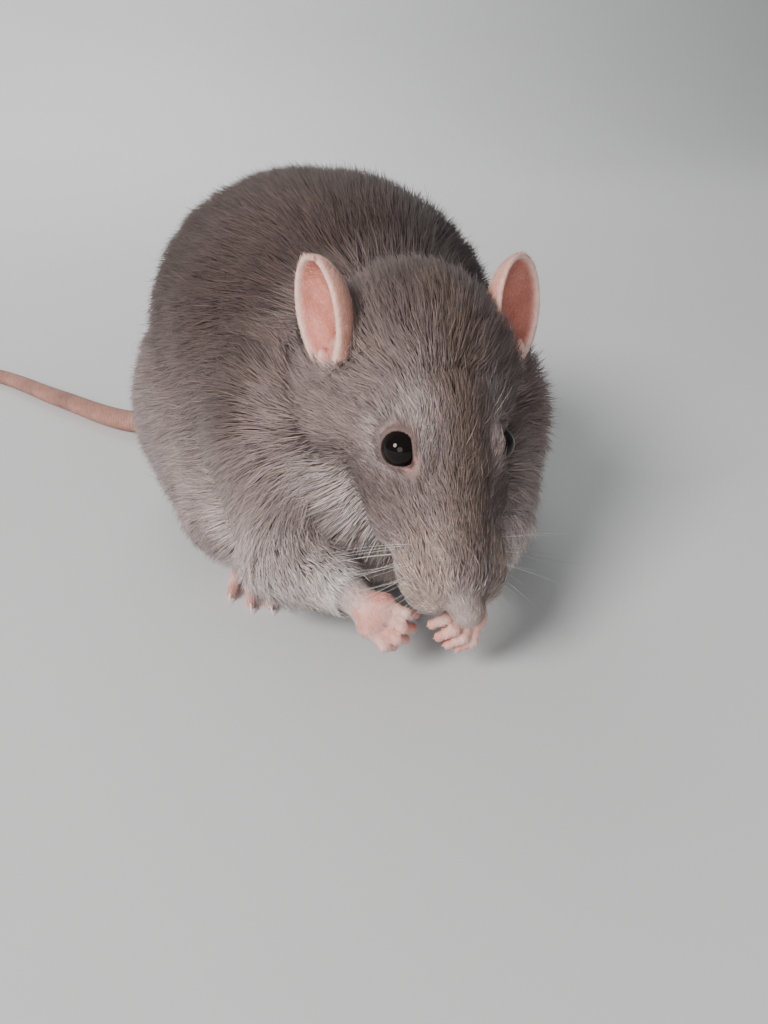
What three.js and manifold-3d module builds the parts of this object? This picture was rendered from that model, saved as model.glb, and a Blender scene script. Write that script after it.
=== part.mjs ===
import * as THREE from "three";
import { mergeVertices } from "three/addons/utils/BufferGeometryUtils.js";
import Module from "manifold-3d";

// ---------------------------------------------------------------------------
// A grown dumbo rat sitting up on its haunches, head bowed over its lifted hands.
// Frame: millimetres, +Z up, the nose towards -Y, +X the rat's own left.
// The solids follow the outline of the coat. The flesh is one implicit body,
// written below as smoothly blended ellipsoids and round cones, and parted by
// thin cuts where a person would name the parts.
// ---------------------------------------------------------------------------

// Driving dimensions
const SHIFT = [52.3, -49.78, 0]; // moves the rat so the frame's origin lies under the middle of its box
const GAP = 0.3; // clearance left where two named parts meet
const HEAD_AT = [1.0, -47.9, 40.05]; // midpoint between the eyes
const HEAD_YAW = -8.4, HEAD_PITCH = 52, HEAD_ROLL = 14.9; // degrees
const EYE_AT = [9.0, -0.5, 2.6], EYE_R = 3.5; // in the head's own frame, mirrored
const EAR_W = 7.8, EAR_H = 9.3, EAR_D = 5.3, EAR_T = 1.5; // pinna half width, half height, cup depth, thickness
const TAIL_R = [5.0, 4.2, 3.7, 3.3, 2.9, 2.5, 2.1, 1.7, 1.2]; // tail radius along its length
const TAIL_PATH = [
  [2, 42, 15], [-8, 57, 8], [-24, 67, 4.7], [-42, 75.5, 3.5], [-62, 105, 2.9],
  [-81, 137, 2.33], [-99, 156, 1.95], [-122, 164, 1.58], [-145, 161, 1.12],
];
const NOSE_LENGTH = 29.5; // eyes to nose tip
const BEND = 0.09; // the trunk's midline drifts to the right behind, to the left in front

// ---------- small vector helpers ----------
const rad = (d) => (d * Math.PI) / 180;
const sub = (a, b) => [a[0] - b[0], a[1] - b[1], a[2] - b[2]];
const add = (a, b) => [a[0] + b[0], a[1] + b[1], a[2] + b[2]];
const mul = (a, s) => [a[0] * s, a[1] * s, a[2] * s];
const dot = (a, b) => a[0] * b[0] + a[1] * b[1] + a[2] * b[2];
const cross = (a, b) => [a[1] * b[2] - a[2] * b[1], a[2] * b[0] - a[0] * b[2], a[0] * b[1] - a[1] * b[0]];
const unit = (a) => mul(a, 1 / Math.hypot(...a));

// ---------- implicit shapes ----------
const smin = (a, b, k) => {
  const h = Math.max(k - Math.abs(a - b), 0) / k;
  return Math.min(a, b) - h * h * k * 0.25;
};
const smax = (a, b, k) => -smin(-a, -b, k);
function ell(x, y, z, c, r) {
  const px = x - c[0], py = y - c[1], pz = z - c[2];
  const ax = px / r[0], ay = py / r[1], az = pz / r[2];
  const k0 = Math.sqrt(ax * ax + ay * ay + az * az);
  const bx = ax / r[0], by = ay / r[1], bz = az / r[2];
  return (k0 * (k0 - 1)) / (Math.sqrt(bx * bx + by * by + bz * bz) + 1e-6);
}
function cone(x, y, z, a, b, ra, rb) {
  const bx = b[0] - a[0], by = b[1] - a[1], bz = b[2] - a[2];
  const px = x - a[0], py = y - a[1], pz = z - a[2];
  const t = Math.min(1, Math.max(0, (px * bx + py * by + pz * bz) / (bx * bx + by * by + bz * bz)));
  return Math.hypot(px - t * bx, py - t * by, pz - t * bz) - (ra + (rb - ra) * t);
}

// ---------- the head's own frame: l to its left, f forward to the nose, u up ----------
const HEAD = (() => {
  const y = rad(HEAD_YAW), p = rad(HEAD_PITCH), r = rad(HEAD_ROLL);
  const turn = (v) => {
    let [a, b, c] = v;
    [a, c] = [Math.cos(r) * a + Math.sin(r) * c, -Math.sin(r) * a + Math.cos(r) * c];
    [b, c] = [Math.cos(p) * b - Math.sin(p) * c, Math.sin(p) * b + Math.cos(p) * c];
    [a, b] = [Math.cos(y) * a - Math.sin(y) * b, Math.sin(y) * a + Math.cos(y) * b];
    return [a, b, c];
  };
  return { l: turn([1, 0, 0]), f: turn([0, -1, 0]), u: turn([0, 0, 1]) };
})();
const toHead = (x, y, z) => {
  const q = [x - HEAD_AT[0], y - HEAD_AT[1], z - HEAD_AT[2]];
  return [dot(q, HEAD.l), dot(q, HEAD.f), dot(q, HEAD.u)];
};
const fromHead = (l, f, u) => add(HEAD_AT, add(mul(HEAD.l, l), add(mul(HEAD.f, f), mul(HEAD.u, u))));

function headField(l, f, u) {
  const m = Math.abs(l);
  let d = ell(l, f, u, [0, -17, -2], [17, 17.5, 12.5]);
  d = smin(d, ell(m, f, u, [9.5, -14.5, -8], [11, 12.5, 11]), 7);
  d = smin(d, ell(m, f, u, [6, -3, -7], [6, 10, 6.5]), 6);
  d = smin(d, cone(l, f, u, [0, -4, -1.5], [0, 21, -1], 10.4, 5.2), 5);
  d = smin(d, cone(l, f, u, [0, -6, 5.2], [0, 22.5, 1.2], 4.4, 3.2), 4);
  d = smin(d, cone(l, f, u, [0, -4, -9], [0, 17, -7.2], 6.5, 3.2), 3);
  d = smin(d, ell(m, f, u, [6.2, 7, -4.2], [6.4, 10.5, 6.3]), 5);
  d = smin(d, ell(m, f, u, [4.7, 18.6, -2.5], [5.6, 8.4, 4.9]), 2.5);
  d = smin(d, ell(l, f, u, [0, NOSE_LENGTH - 2.4, 0.3], [3, 3, 2.8]), 2);
  d = smin(d, ell(m, f, u, [6.6, -0.4, 2.7], [3.0, 6, 4.4]), 3);
  return d;
}

// ---------- ears: half of a hollow egg on a short stalk ----------
const EAR_POSE = { // in the head's frame, outward positive: middle of the opening, base-to-tip, opening direction
  left: { at: [19.5, -25.5, 3.4], h: [0.16, -0.94, 0.28], n: [0.42, 0.3, 0.76] },
  right: { at: [19.5, -24.4, -0.85], h: [0.141, -0.987, 0.067], n: [0.97, 0.17, -0.03] },
};
const EAR = {};
for (const side of ["left", "right"]) {
  const s = side === "left" ? 1 : -1, e = EAR_POSE[side], h = unit(e.h);
  const n = unit(sub(e.n, mul(h, dot(e.n, h))));
  const w = cross(h, n);
  EAR[side] = { s, at: e.at, h, n, w };
}
function toEar(side, l, f, u) {
  const e = EAR[side], q = sub([e.s * l, f, u], e.at);
  return [dot(q, e.w), dot(q, e.h), dot(q, e.n)];
}
function fromEar(side, a, b, c) {
  const e = EAR[side];
  const q = add(e.at, add(mul(e.w, a), add(mul(e.h, b), mul(e.n, c))));
  return fromHead(e.s * q[0], q[1], q[2]);
}
function earField(side, l, f, u) {
  const [w, h, n] = toEar(side, l, f, u);
  const egg = ell(w, h, n, [0, 0, 0], [EAR_W, EAR_H, EAR_D]);
  let d = smax(Math.abs(egg) - EAR_T / 2, n, 0.6);
  return smin(d, cone(w, h, n, [0, -EAR_H * 0.62, -3.6], [-1, -EAR_H - 2.5, -5], 2.6, 3.4), 1.5);
}

// ---------- trunk ----------
const NECK_END = fromHead(0, -17, -4);
function trunkField(x, y, z) {
  const t = x + BEND * y, m = Math.abs(t);
  let d = ell(t, y, z, [0.8, 22, 40.5], [36, 37, 37.5]);
  d = smin(d, ell(t, y, z, [0, 1, 41], [35, 30, 37]), 12);
  d = smin(d, ell(t, y, z, [0, -26, 27], [27, 24.5, 22]), 10);
  d = smin(d, ell(t, y, z, [0, 6, 22], [35, 38, 21]), 10);
  d = smin(d, ell(m, y, z, [25.5, 20, 24], [16.5, 28, 23]), 8);
  d = smin(d, ell(m, y, z, [25, -3, 15], [14.5, 25, 14.5]), 8);
  d = smin(d, ell(m, y, z, [20, -19, 34], [15, 18, 20]), 8);
  d = smin(d, cone(x, y, z, [0, -13, 48], NECK_END, 21, 14), 8);
  return d;
}

// ---------- limbs ----------
const SHOULDER = { left: [20, -24, 30], right: [-19, -22, 30] };
const ELBOW = { left: [17.3, -36, 18], right: [-23.3, -33, 17] };
const WRIST = { left: [6.3, -53.2, 15.3], right: [-16.3, -48.6, 15.6] };
const PALM = { left: [2.2, -57.9, 13.6], right: [-13.6, -53.2, 13.7] };
const HAND_BACK = { left: [0.62, -0.45, 0.64], right: [-0.72, -0.4, 0.57] };
function frameOf(side) {
  const d = unit(sub(PALM[side], WRIST[side]));
  let b = HAND_BACK[side];
  b = unit(sub(b, mul(d, dot(b, d))));
  return { d, b, s: cross(d, b) };
}
const HAND = { left: frameOf("left"), right: frameOf("right") };
function handPoint(side, along, back, across) {
  const h = HAND[side];
  return add(PALM[side], add(mul(h.d, along), add(mul(h.b, back), mul(h.s, across))));
}
const FINGERS = [-3.1, -1.1, 1.0, 3.0];
const HAND_BONES = {};
for (const side of ["left", "right"]) {
  HAND_BONES[side] = FINGERS.map((k, i) => {
    const reach = [0, 1, 1.2, 0.2][i];
    return [
      handPoint(side, 1.2, 0.4, k * 0.9), handPoint(side, 4.6 + reach, -0.2, k * 1.15),
      handPoint(side, 5.2 + reach, -3.4, k * 1.15),
    ];
  });
}
function armField(side, x, y, z) {
  const d = cone(x, y, z, SHOULDER[side], ELBOW[side], 13, 9.5);
  return smin(d, cone(x, y, z, ELBOW[side], WRIST[side], 9, 4.2), 4);
}
function handField(side, x, y, z) {
  let d = cone(x, y, z, WRIST[side], PALM[side], 3.2, 3.3);
  d = smin(d, cone(x, y, z, handPoint(side, 0.6, 0, -2.2), handPoint(side, 0.6, 0, 2.2), 2.4, 2.4), 1.5);
  for (const [a, b, c] of HAND_BONES[side]) {
    let g = cone(x, y, z, a, b, 1.35, 1.15);
    g = smin(g, cone(x, y, z, b, c, 1.15, 0.8), 0.5);
    d = smin(d, g, 0.7);
  }
  return d;
}
const HEEL = { left: [27, 13, 3.2], right: [-27.5, 10.5, 3.2] };
const BALL = { left: [27.5, -11, 2.6], right: [-26, -14, 2.6] };
const TOES = [ // root across, root along, tip across, tip along: forward is negative y, outward is positive
  [3.6, -8, 7.2, -15.5], [2.1, -11, 4.2, -20.5], [0, -12, 0.6, -22.5], [-2.1, -11, -3.2, -21.5], [-3.6, -6.5, -6.6, -14],
];
function footField(side, x, y, z) {
  const s = side === "left" ? 1 : -1, c = BALL[side][0], y0 = BALL[side][1] + 9;
  let d = cone(x, y, z, HEEL[side], BALL[side], 3.6, 3.2);
  d = smin(d, ell(x, y, z, [c, y0 - 7.5, 2.4], [5.2, 8, 3.4]), 2);
  for (const [a, b, e, f] of TOES) {
    d = smin(d, cone(x, y, z, [c + s * a, y0 + b, 2.1], [c + s * e, y0 + f, 1.1], 1.7, 1.05), 0.8);
  }
  return d;
}
function shankField(side, x, y, z) {
  const s = side === "left" ? 1 : -1;
  return cone(x, y, z, [s * 31, -6, 13], [HEEL[side][0], 10, 6.5], 8, 5.5);
}

// head and trunk; then the same with the limbs, but for the hands and the hind feet
function torso(x, y, z) {
  return smin(trunkField(x, y, z), headField(...toHead(x, y, z)), 7);
}
function flesh(x, y, z) {
  let d = torso(x, y, z);
  for (const side of ["left", "right"]) {
    d = smin(d, armField(side, x, y, z), 4);
    d = smin(d, shankField(side, x, y, z), 3);
  }
  return d;
}

// ---------- surface of a field, as one quad net per grid cell it crosses ----------
function skinOf(field, lo, hi, h) {
  const n = [0, 1, 2].map((i) => Math.ceil((hi[i] - lo[i]) / h) + 1);
  const at = (i, j, k) => (i * n[1] + j) * n[2] + k;
  const v = new Float64Array(n[0] * n[1] * n[2]);
  for (let i = 0; i < n[0]; i++)
    for (let j = 0; j < n[1]; j++)
      for (let k = 0; k < n[2]; k++) {
        const d = field(lo[0] + i * h, lo[1] + j * h, lo[2] + k * h);
        const edge = !i || !j || !k || i === n[0] - 1 || j === n[1] - 1 || k === n[2] - 1;
        v[at(i, j, k)] = edge ? Math.max(d, h / 2) : d; // the grid's own border closes the surface
      }
  const id = new Int32Array(v.length).fill(-1), pos = [], tri = [];
  const EDGES = [];
  for (let a = 0; a < 8; a++) for (const bit of [1, 2, 4]) if (!(a & bit)) EDGES.push([a, a | bit]);
  for (let i = 0; i < n[0] - 1; i++)
    for (let j = 0; j < n[1] - 1; j++)
      for (let k = 0; k < n[2] - 1; k++) {
        let m = 0, s = [0, 0, 0];
        for (const [a, b] of EDGES) {
          const va = v[at(i + (a & 1), j + ((a >> 1) & 1), k + (a >> 2))];
          const vb = v[at(i + (b & 1), j + ((b >> 1) & 1), k + (b >> 2))];
          if (va < 0 === vb < 0) continue;
          const t = va / (va - vb);
          for (let c = 0; c < 3; c++) s[c] += ((a >> c) & 1) + t * (((b >> c) & 1) - ((a >> c) & 1));
          m++;
        }
        if (!m) continue;
        id[at(i, j, k)] = pos.length / 3;
        pos.push(lo[0] + h * (i + s[0] / m), lo[1] + h * (j + s[1] / m), lo[2] + h * (k + s[2] / m));
      }
  const step = [[1, 0, 0], [0, 1, 0], [0, 0, 1]];
  for (let i = 0; i < n[0] - 1; i++)
    for (let j = 0; j < n[1] - 1; j++)
      for (let k = 0; k < n[2] - 1; k++)
        for (let c = 0; c < 3; c++) {
          if ((c !== 0 && !i) || (c !== 1 && !j) || (c !== 2 && !k)) continue;
          const a = v[at(i, j, k)] < 0, b = v[at(i + step[c][0], j + step[c][1], k + step[c][2])] < 0;
          if (a === b) continue;
          const p = step[(c + 1) % 3], q = step[(c + 2) % 3];
          const quad = [[1, 1], [0, 1], [0, 0], [1, 0]].map(([e, g]) =>
            id[at(i - e * p[0] - g * q[0], j - e * p[1] - g * q[1], k - e * p[2] - g * q[2])]);
          if (!a) quad.reverse();
          tri.push(quad[0], quad[1], quad[2], quad[0], quad[2], quad[3]);
        }
  const g = new THREE.BufferGeometry();
  g.setAttribute("position", new THREE.Float32BufferAttribute(pos, 3));
  g.setIndex(tri);
  return g;
}

// ---------- solids ----------
const wasm = await Module();
wasm.setup();
function solid(geometry) {
  const g = geometry.clone();
  for (const name of ["normal", "uv"]) g.deleteAttribute(name);
  const m = mergeVertices(g, 1e-4);
  return new wasm.Manifold(new wasm.Mesh({
    numProp: 3, vertProperties: m.attributes.position.array, triVerts: new Uint32Array(m.index.array),
  }));
}
function geometryOf(body) {
  const m = body.getMesh(), g = new THREE.BufferGeometry();
  g.setAttribute("position", new THREE.Float32BufferAttribute(m.vertProperties, 3));
  g.setIndex(Array.from(m.triVerts));
  return g;
}
// the largest single body of a solid: slivers left by a cut are dropped
const whole = (body) => body.decompose().sort((a, b) => b.volume() - a.volume())[0];
function block(x0, x1, y0, y1, z0, z1) {
  return solid(new THREE.BoxGeometry(x1 - x0, y1 - y0, z1 - z0).translate((x0 + x1) / 2, (y0 + y1) / 2, (z0 + z1) / 2));
}
const ABOVE_FLOOR = block(-300, 300, -300, 300, 0, 300);
// a net can pinch where a surface lies close to itself: the grid is then moved a little
function netOf(field, lo, hi, h) {
  for (const nudge of [0, 0.31, 0.57, 0.83, 0.17]) {
    try {
      return solid(skinOf(field, lo.map((v) => v - nudge * h), hi, h));
    } catch (error) {
      if (nudge === 0.17) throw error;
    }
  }
}

// an ellipsoid in low relief; axes, if given, are its own three directions
function egg(c, r, wide, high, axes) {
  const g = new THREE.SphereGeometry(1, wide, high).scale(...r);
  if (axes) g.applyMatrix4(new THREE.Matrix4().makeBasis(...axes.map((v) => new THREE.Vector3(...v))));
  return solid(g.translate(...c));
}
// a round cone between two points: rings of points with a domed cap at each end
function taper(a, b, ra, rb, sides = 8, domes = 2) {
  const d = unit(sub(b, a)), e = unit(cross(d, Math.abs(d[2]) < 0.8 ? [0, 0, 1] : [1, 0, 0])), g = cross(d, e);
  const rings = [];
  for (let i = 1; i <= domes; i++) rings.push([a, ra, -Math.cos((i * Math.PI) / 2 / domes), Math.sin((i * Math.PI) / 2 / domes)]);
  for (let i = domes; i >= 1; i--) rings.push([b, rb, Math.cos((i * Math.PI) / 2 / domes), Math.sin((i * Math.PI) / 2 / domes)]);
  const pos = [add(a, mul(d, -ra))], tri = [];
  for (const [c, r, x, y] of rings)
    for (let k = 0; k < sides; k++) {
      const t = (2 * Math.PI * k) / sides;
      pos.push(add(add(c, mul(d, r * x)), add(mul(e, r * y * Math.cos(t)), mul(g, r * y * Math.sin(t)))));
    }
  pos.push(add(b, mul(d, rb)));
  const last = pos.length - 1;
  for (let k = 0; k < sides; k++) {
    const n = (k + 1) % sides, top = 1 + (rings.length - 1) * sides;
    tri.push(0, 1 + n, 1 + k, last, top + k, top + n);
    for (let i = 0; i < rings.length - 1; i++) {
      const p = 1 + i * sides;
      tri.push(p + k, p + n, p + sides + k, p + n, p + sides + n, p + sides + k);
    }
  }
  const q = new THREE.BufferGeometry();
  q.setAttribute("position", new THREE.Float32BufferAttribute(pos.flat(), 3));
  q.setIndex(tri);
  return solid(q);
}

// regions that part the body, each grown by the clearance where its neighbour is cut
const HEAD_AXES = [HEAD.l, mul(HEAD.f, -1), HEAD.u];
const headRegion = (grow) =>
  egg(fromHead(0, -13.5, -3), [22.5, 22, 16.5].map((v) => v + grow), 12, 7, HEAD_AXES)
    .add(taper(fromHead(0, -8, -2), fromHead(0, 22, -1.5), 14 + grow, 11 + grow, 9, 1));
const neckRegion = (grow) => egg([2, -29, 51], [27, 25, 26].map((v) => v + grow), 12, 7);
const foreRegion = (side, grow) =>
  taper(SHOULDER[side], ELBOW[side], 12.5 + grow, 12.5 + grow, 8, 2)
    .add(taper(ELBOW[side], WRIST[side], 12.5 + grow, 8 + grow, 8, 1));
const hindRegion = (side, grow) => {
  const s = side === "left" ? 1 : -1;
  return egg([s * 31 - BEND * 19, 19, 21], [17, 27, 24].map((v) => v + grow), 10, 6)
    .add(egg([s * 30, -4, 9], [15, 21, 13].map((v) => v + grow), 8, 5));
};
// hind foot: sole, instep and five toes
function footBody(side, grow) {
  const s = side === "left" ? 1 : -1, c = BALL[side][0], y0 = BALL[side][1] + 9;
  let d = taper(HEEL[side], BALL[side], 3.6 + grow, 3.2 + grow, 8, 2).add(egg([c, y0 - 7.5, 2.4], [5.2, 8, 3.4].map((v) => v + grow), 9, 6));
  for (const [a, b, e, f] of TOES) d = d.add(taper([c + s * a, y0 + b, 2.1], [c + s * e, y0 + f, 1.1], 1.7 + grow, 1.05 + grow, 5, 1));
  return d;
}
// hand: wrist, palm and four curled fingers
function handBody(side, grow) {
  let d = taper(WRIST[side], PALM[side], 3.3 + grow, 3.5 + grow, 8, 1)
    .add(taper(handPoint(side, 0.6, 0, -2.2), handPoint(side, 0.6, 0, 2.2), 2.6 + grow, 2.6 + grow, 7, 1));
  for (const [a, b, c] of HAND_BONES[side])
    d = d.add(taper(a, b, 1.35 + grow, 1.2 + grow, 5, 1)).add(taper(b, c, 1.25 + grow, 0.85 + grow, 5, 1));
  return d;
}
// half space beyond the wrist, with a margin
function pastWrist(side, margin) {
  const w = WRIST[side], d = HAND[side].d, q = new THREE.Quaternion().setFromUnitVectors(new THREE.Vector3(0, 0, 1), new THREE.Vector3(...d));
  const g = new THREE.BoxGeometry(60, 60, 60).translate(0, 0, 30 + margin).applyQuaternion(q);
  return solid(g.translate(...w));
}

// tail: a tapering tube along a smooth path, its underside levelled at the floor
const tailCurve = new THREE.CatmullRomCurve3(TAIL_PATH.map((p) => new THREE.Vector3(...p)), false, "centripetal");
const tailRadius = (t) => {
  const q = t * (TAIL_R.length - 1), i = Math.min(TAIL_R.length - 2, Math.floor(q));
  return TAIL_R[i] + (TAIL_R[i + 1] - TAIL_R[i]) * (q - i);
};
function tailLength(t0, t1, rings, grow, round) {
  const N = 9, pos = [], tri = [];
  for (let i = 0; i <= rings; i++) {
    const t = t0 + ((t1 - t0) * i) / rings;
    const c = tailCurve.getPoint(t), d = tailCurve.getTangent(t);
    if (i === 0) c.addScaledVector(d, -grow);
    const side = new THREE.Vector3(-d.y, d.x, 0).normalize(), up = new THREE.Vector3().crossVectors(d, side);
    if (up.z < 0) up.negate();
    const r = (tailRadius(t) + grow) * (round && i === rings ? 0.5 : 1);
    for (let k = 0; k < N; k++) {
      const a = (2 * Math.PI * k) / N;
      const p = c.clone().addScaledVector(side, r * Math.cos(a)).addScaledVector(up, r * Math.sin(a));
      pos.push(p.x, p.y, Math.max(p.z, 0));
    }
  }
  for (let i = 0; i < rings; i++)
    for (let k = 0; k < N; k++) {
      const a = i * N + k, b = i * N + ((k + 1) % N), c = a + N, e = b + N;
      tri.push(a, c, b, b, c, e);
    }
  for (const [i, turn] of [[0, 1], [rings, -1]]) {
    const c = tailCurve.getPoint(i ? t1 : t0);
    pos.push(c.x, c.y, c.z);
    for (let k = 0; k < N; k++) {
      const a = i * N + k, b = i * N + ((k + 1) % N);
      tri.push(...(turn > 0 ? [pos.length / 3 - 1, a, b] : [pos.length / 3 - 1, b, a]));
    }
  }
  const g = new THREE.BufferGeometry();
  g.setAttribute("position", new THREE.Float32BufferAttribute(pos, 3));
  g.setIndex(tri);
  const body = solid(g);
  if (body.volume() > 0) return body;
  const turned = [];
  for (let i = 0; i < tri.length; i += 3) turned.push(tri[i], tri[i + 2], tri[i + 1]);
  g.setIndex(turned);
  return solid(g);
}

const nodes = {};
const fleshBody = netOf(flesh, [-53, -62, -8], [56, 74, 94], 8.4);
const fleshFine = netOf(torso, [-32, -74.8, 2.6], [34, -6, 80], 3.9);
const eyeBall = (s, r) => {
  const c = fromHead(s * EYE_AT[0], EYE_AT[1], EYE_AT[2]);
  return solid(new THREE.SphereGeometry(r, 11, 8).translate(...c));
};
nodes.head = fleshFine.intersect(headRegion(0));
for (const s of [1, -1]) nodes.head = nodes.head.subtract(eyeBall(s, EYE_R + GAP));
nodes.eye_left = eyeBall(1, EYE_R);
nodes.eye_right = eyeBall(-1, EYE_R);

const keepHead = headRegion(GAP), keepNeck = neckRegion(GAP);
nodes.neck = fleshBody.intersect(neckRegion(0)).subtract(keepHead);
const muzzle = netOf((x, y, z) => torso(x, y, z) - GAP - 0.1, [-22, -76, 2], [20, -44, 30], 2.3);
let trunk = fleshBody.subtract(keepHead).subtract(keepNeck);
for (const side of ["left", "right"]) {
  const wrist = pastWrist(side, -GAP / 2).intersect(taper(WRIST[side], PALM[side], 8, 8, 8, 1));
  nodes["forepaw_" + side] = handBody(side, 0).intersect(pastWrist(side, GAP / 2)).subtract(muzzle);
  const arm = netOf(flesh, side === "left" ? [-9, -64, -1] : [-42, -62, -1], side === "left" ? [42, -2, 50] : [1, 0, 50], 4.4);
  nodes["foreleg_" + side] = arm.intersect(foreRegion(side, 0)).subtract(keepHead).subtract(keepNeck).subtract(wrist);
  trunk = trunk.subtract(foreRegion(side, GAP)).subtract(wrist);
  nodes["hindfoot_" + side] = footBody(side, 0);
  const socket = footBody(side, GAP);
  nodes["hindleg_" + side] = fleshBody.intersect(hindRegion(side, 0)).subtract(foreRegion(side, GAP)).subtract(socket);
  trunk = trunk.subtract(hindRegion(side, GAP)).subtract(socket);
}
const cutA = 0.34, cutB = 0.56, cutC = 0.78, dt = 0.0008;
nodes.tail_base = tailLength(0, cutA, 11, 0, false);
nodes.tail_middle = tailLength(cutA + dt, cutB, 7, 0, false);
nodes.tail_end = tailLength(cutB + dt, cutC, 7, 0, false);
nodes.tail_tip = tailLength(cutC + dt, 1, 7, 0, true);
trunk = trunk.subtract(tailLength(0, cutA, 11, GAP, false));
const CHEST_Y = -4, RUMP_Y = 29;
nodes.chest = trunk.intersect(block(-80, 80, -90, CHEST_Y - GAP / 2, -9, 99));
nodes.belly = trunk.intersect(block(-80, 80, CHEST_Y + GAP / 2, RUMP_Y - GAP / 2, -9, 99));
nodes.rump = trunk.intersect(block(-80, 80, RUMP_Y + GAP / 2, 120, -9, 99));

// the pinna: half a hollow egg turned on its short axis, its rim rounded, on a short stalk
function pinna(side) {
  const profile = [];
  for (let i = 0; i <= 4; i++) {
    const t = (i / 4) * (Math.PI / 2);
    profile.push(new THREE.Vector2((1 + EAR_T / 2 / EAR_W) * Math.sin(t), -(EAR_D + EAR_T / 2) * Math.cos(t)));
  }
  for (let i = 4; i >= 0; i--) {
    const t = (i / 4) * (Math.PI / 2);
    profile.push(new THREE.Vector2((1 - EAR_T / 2 / EAR_W) * Math.sin(t), -(EAR_D - EAR_T / 2) * Math.cos(t)));
  }
  const g = new THREE.LatheGeometry(profile, 14).scale(EAR_W, 1, EAR_H).rotateX(Math.PI / 2); // opening towards +z
  const p = g.attributes.position;
  for (let i = 0; i < p.count; i++) p.setXYZ(i, ...fromEar(side, p.getX(i), p.getY(i), p.getZ(i)));
  g.deleteAttribute("normal");
  g.deleteAttribute("uv");
  const m = mergeVertices(g, 1e-4), tri = Array.from(m.index.array).filter((_, i, a) => {
    const k = i - (i % 3);
    return a[k] !== a[k + 1] && a[k + 1] !== a[k + 2] && a[k] !== a[k + 2];
  });
  m.setIndex(tri);
  let cup = solid(m);
  if (cup.volume() < 0) {
    for (let i = 0; i < tri.length; i += 3) [tri[i + 1], tri[i + 2]] = [tri[i + 2], tri[i + 1]];
    m.setIndex(tri);
    cup = solid(m);
  }
  return cup.add(taper(fromEar(side, 0, -EAR_H * 0.62, -3.9), fromEar(side, -1, -EAR_H - 2.5, -5), 2.4, 3.2, 9));
}
const nearBody = netOf((x, y, z) => flesh(x, y, z) - 0.6, [-53, -62, -8], [56, 74, 94], 8.4);
const nearHead = netOf((x, y, z) => flesh(x, y, z) - GAP, [-32, -54, 34], [38, -6, 80], 2.8);
for (const side of ["left", "right"]) nodes["ear_" + side] = pinna(side).subtract(nearHead).subtract(nearBody);

const LOOK = { // colour, roughness
  head: [0x8f8480, 0.85], neck: [0x857a76, 0.85], chest: [0x9c928d, 0.85], belly: [0x8a7f7b, 0.85], rump: [0x7d726e, 0.85],
  foreleg: [0xaaa19b, 0.85], hindleg: [0x978c87, 0.85], forepaw: [0xe3b5ab, 0.55], hindfoot: [0xd79c92, 0.55],
  ear: [0xd79a8e, 0.5], eye: [0x0b0908, 0.05], tail: [0xc08a78, 0.6],
};
const rat = new THREE.Group();
for (const [name, body] of Object.entries(nodes)) {
  const g = geometryOf(whole(body.intersect(ABOVE_FLOOR)));
  const [color, roughness] = LOOK[name.split("_")[0]];
  const mesh = new THREE.Mesh(g, new THREE.MeshStandardMaterial({ color, roughness, metalness: 0 }));
  mesh.name = name;
  mesh.position.set(...SHIFT);
  rat.add(mesh);
}
export default rat;
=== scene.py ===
import math
import time
import bpy
import numpy as np
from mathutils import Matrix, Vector
from mathutils.kdtree import KDTree


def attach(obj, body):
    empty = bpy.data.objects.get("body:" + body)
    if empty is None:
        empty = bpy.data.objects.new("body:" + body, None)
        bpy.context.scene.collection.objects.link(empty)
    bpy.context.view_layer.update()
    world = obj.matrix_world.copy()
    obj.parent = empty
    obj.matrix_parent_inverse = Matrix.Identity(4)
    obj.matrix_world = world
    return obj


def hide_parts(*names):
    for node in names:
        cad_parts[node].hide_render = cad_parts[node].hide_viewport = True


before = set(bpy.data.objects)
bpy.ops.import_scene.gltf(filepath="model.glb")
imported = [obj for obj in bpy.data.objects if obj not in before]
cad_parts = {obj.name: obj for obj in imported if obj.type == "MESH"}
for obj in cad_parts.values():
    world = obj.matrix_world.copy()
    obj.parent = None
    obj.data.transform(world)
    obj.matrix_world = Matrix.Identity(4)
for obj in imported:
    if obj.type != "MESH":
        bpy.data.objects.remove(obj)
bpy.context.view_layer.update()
T0 = time.time()


def clock(what):
    print("MADE %-18s %6.1f s" % (what, time.time() - T0), flush=True)


# ---------------------------------------------------------------------------
# The rat's own frame is in millimetres, nose towards -Y, +X its left, +Z up.
# SHIFT takes it to the shared frame.
# ---------------------------------------------------------------------------
F = np.float32
SHIFT = np.array([52.3, -49.78, 0.0])
RNG = np.random.default_rng(20)
HEAD_AT = np.array([1.0, -47.9, 40.05])
HEAD_YAW, HEAD_PITCH, HEAD_ROLL = -8.4, 52.0, 14.9
EYE_AT, EYE_R = (9.0, -0.5, 2.6), 3.5
EAR_W, EAR_H, EAR_D = 7.8, 9.3, 5.3
NOSE_LENGTH = 29.5
BEND = 0.09
TAIL_R = [5.0, 4.2, 3.7, 3.3, 2.9, 2.5, 2.1, 1.7, 1.2]
TAIL_PATH = [
    (2, 42, 15), (-8, 57, 8), (-24, 67, 4.7), (-42, 75.5, 3.5), (-62, 105, 2.9),
    (-81, 137, 2.33), (-99, 156, 1.95), (-122, 164, 1.58), (-145, 161, 1.12),
]


# ---------- small helpers ----------
def unit(v):
    v = np.asarray(v, float)
    return v / np.linalg.norm(v)


def rows_unit(v):
    return v / np.maximum(np.sqrt((v * v).sum(1, keepdims=True)), 1e-9)


def step(a, b, x):
    t = np.clip((x - a) / (b - a), 0, 1)
    return t * t * (3 - 2 * t)


def smin(a, b, k):
    h = np.maximum(k - np.abs(a - b), 0) / k
    return np.minimum(a, b) - h * h * (k * F(0.25))


def smax(a, b, k):
    return -smin(-a, -b, k)


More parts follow.
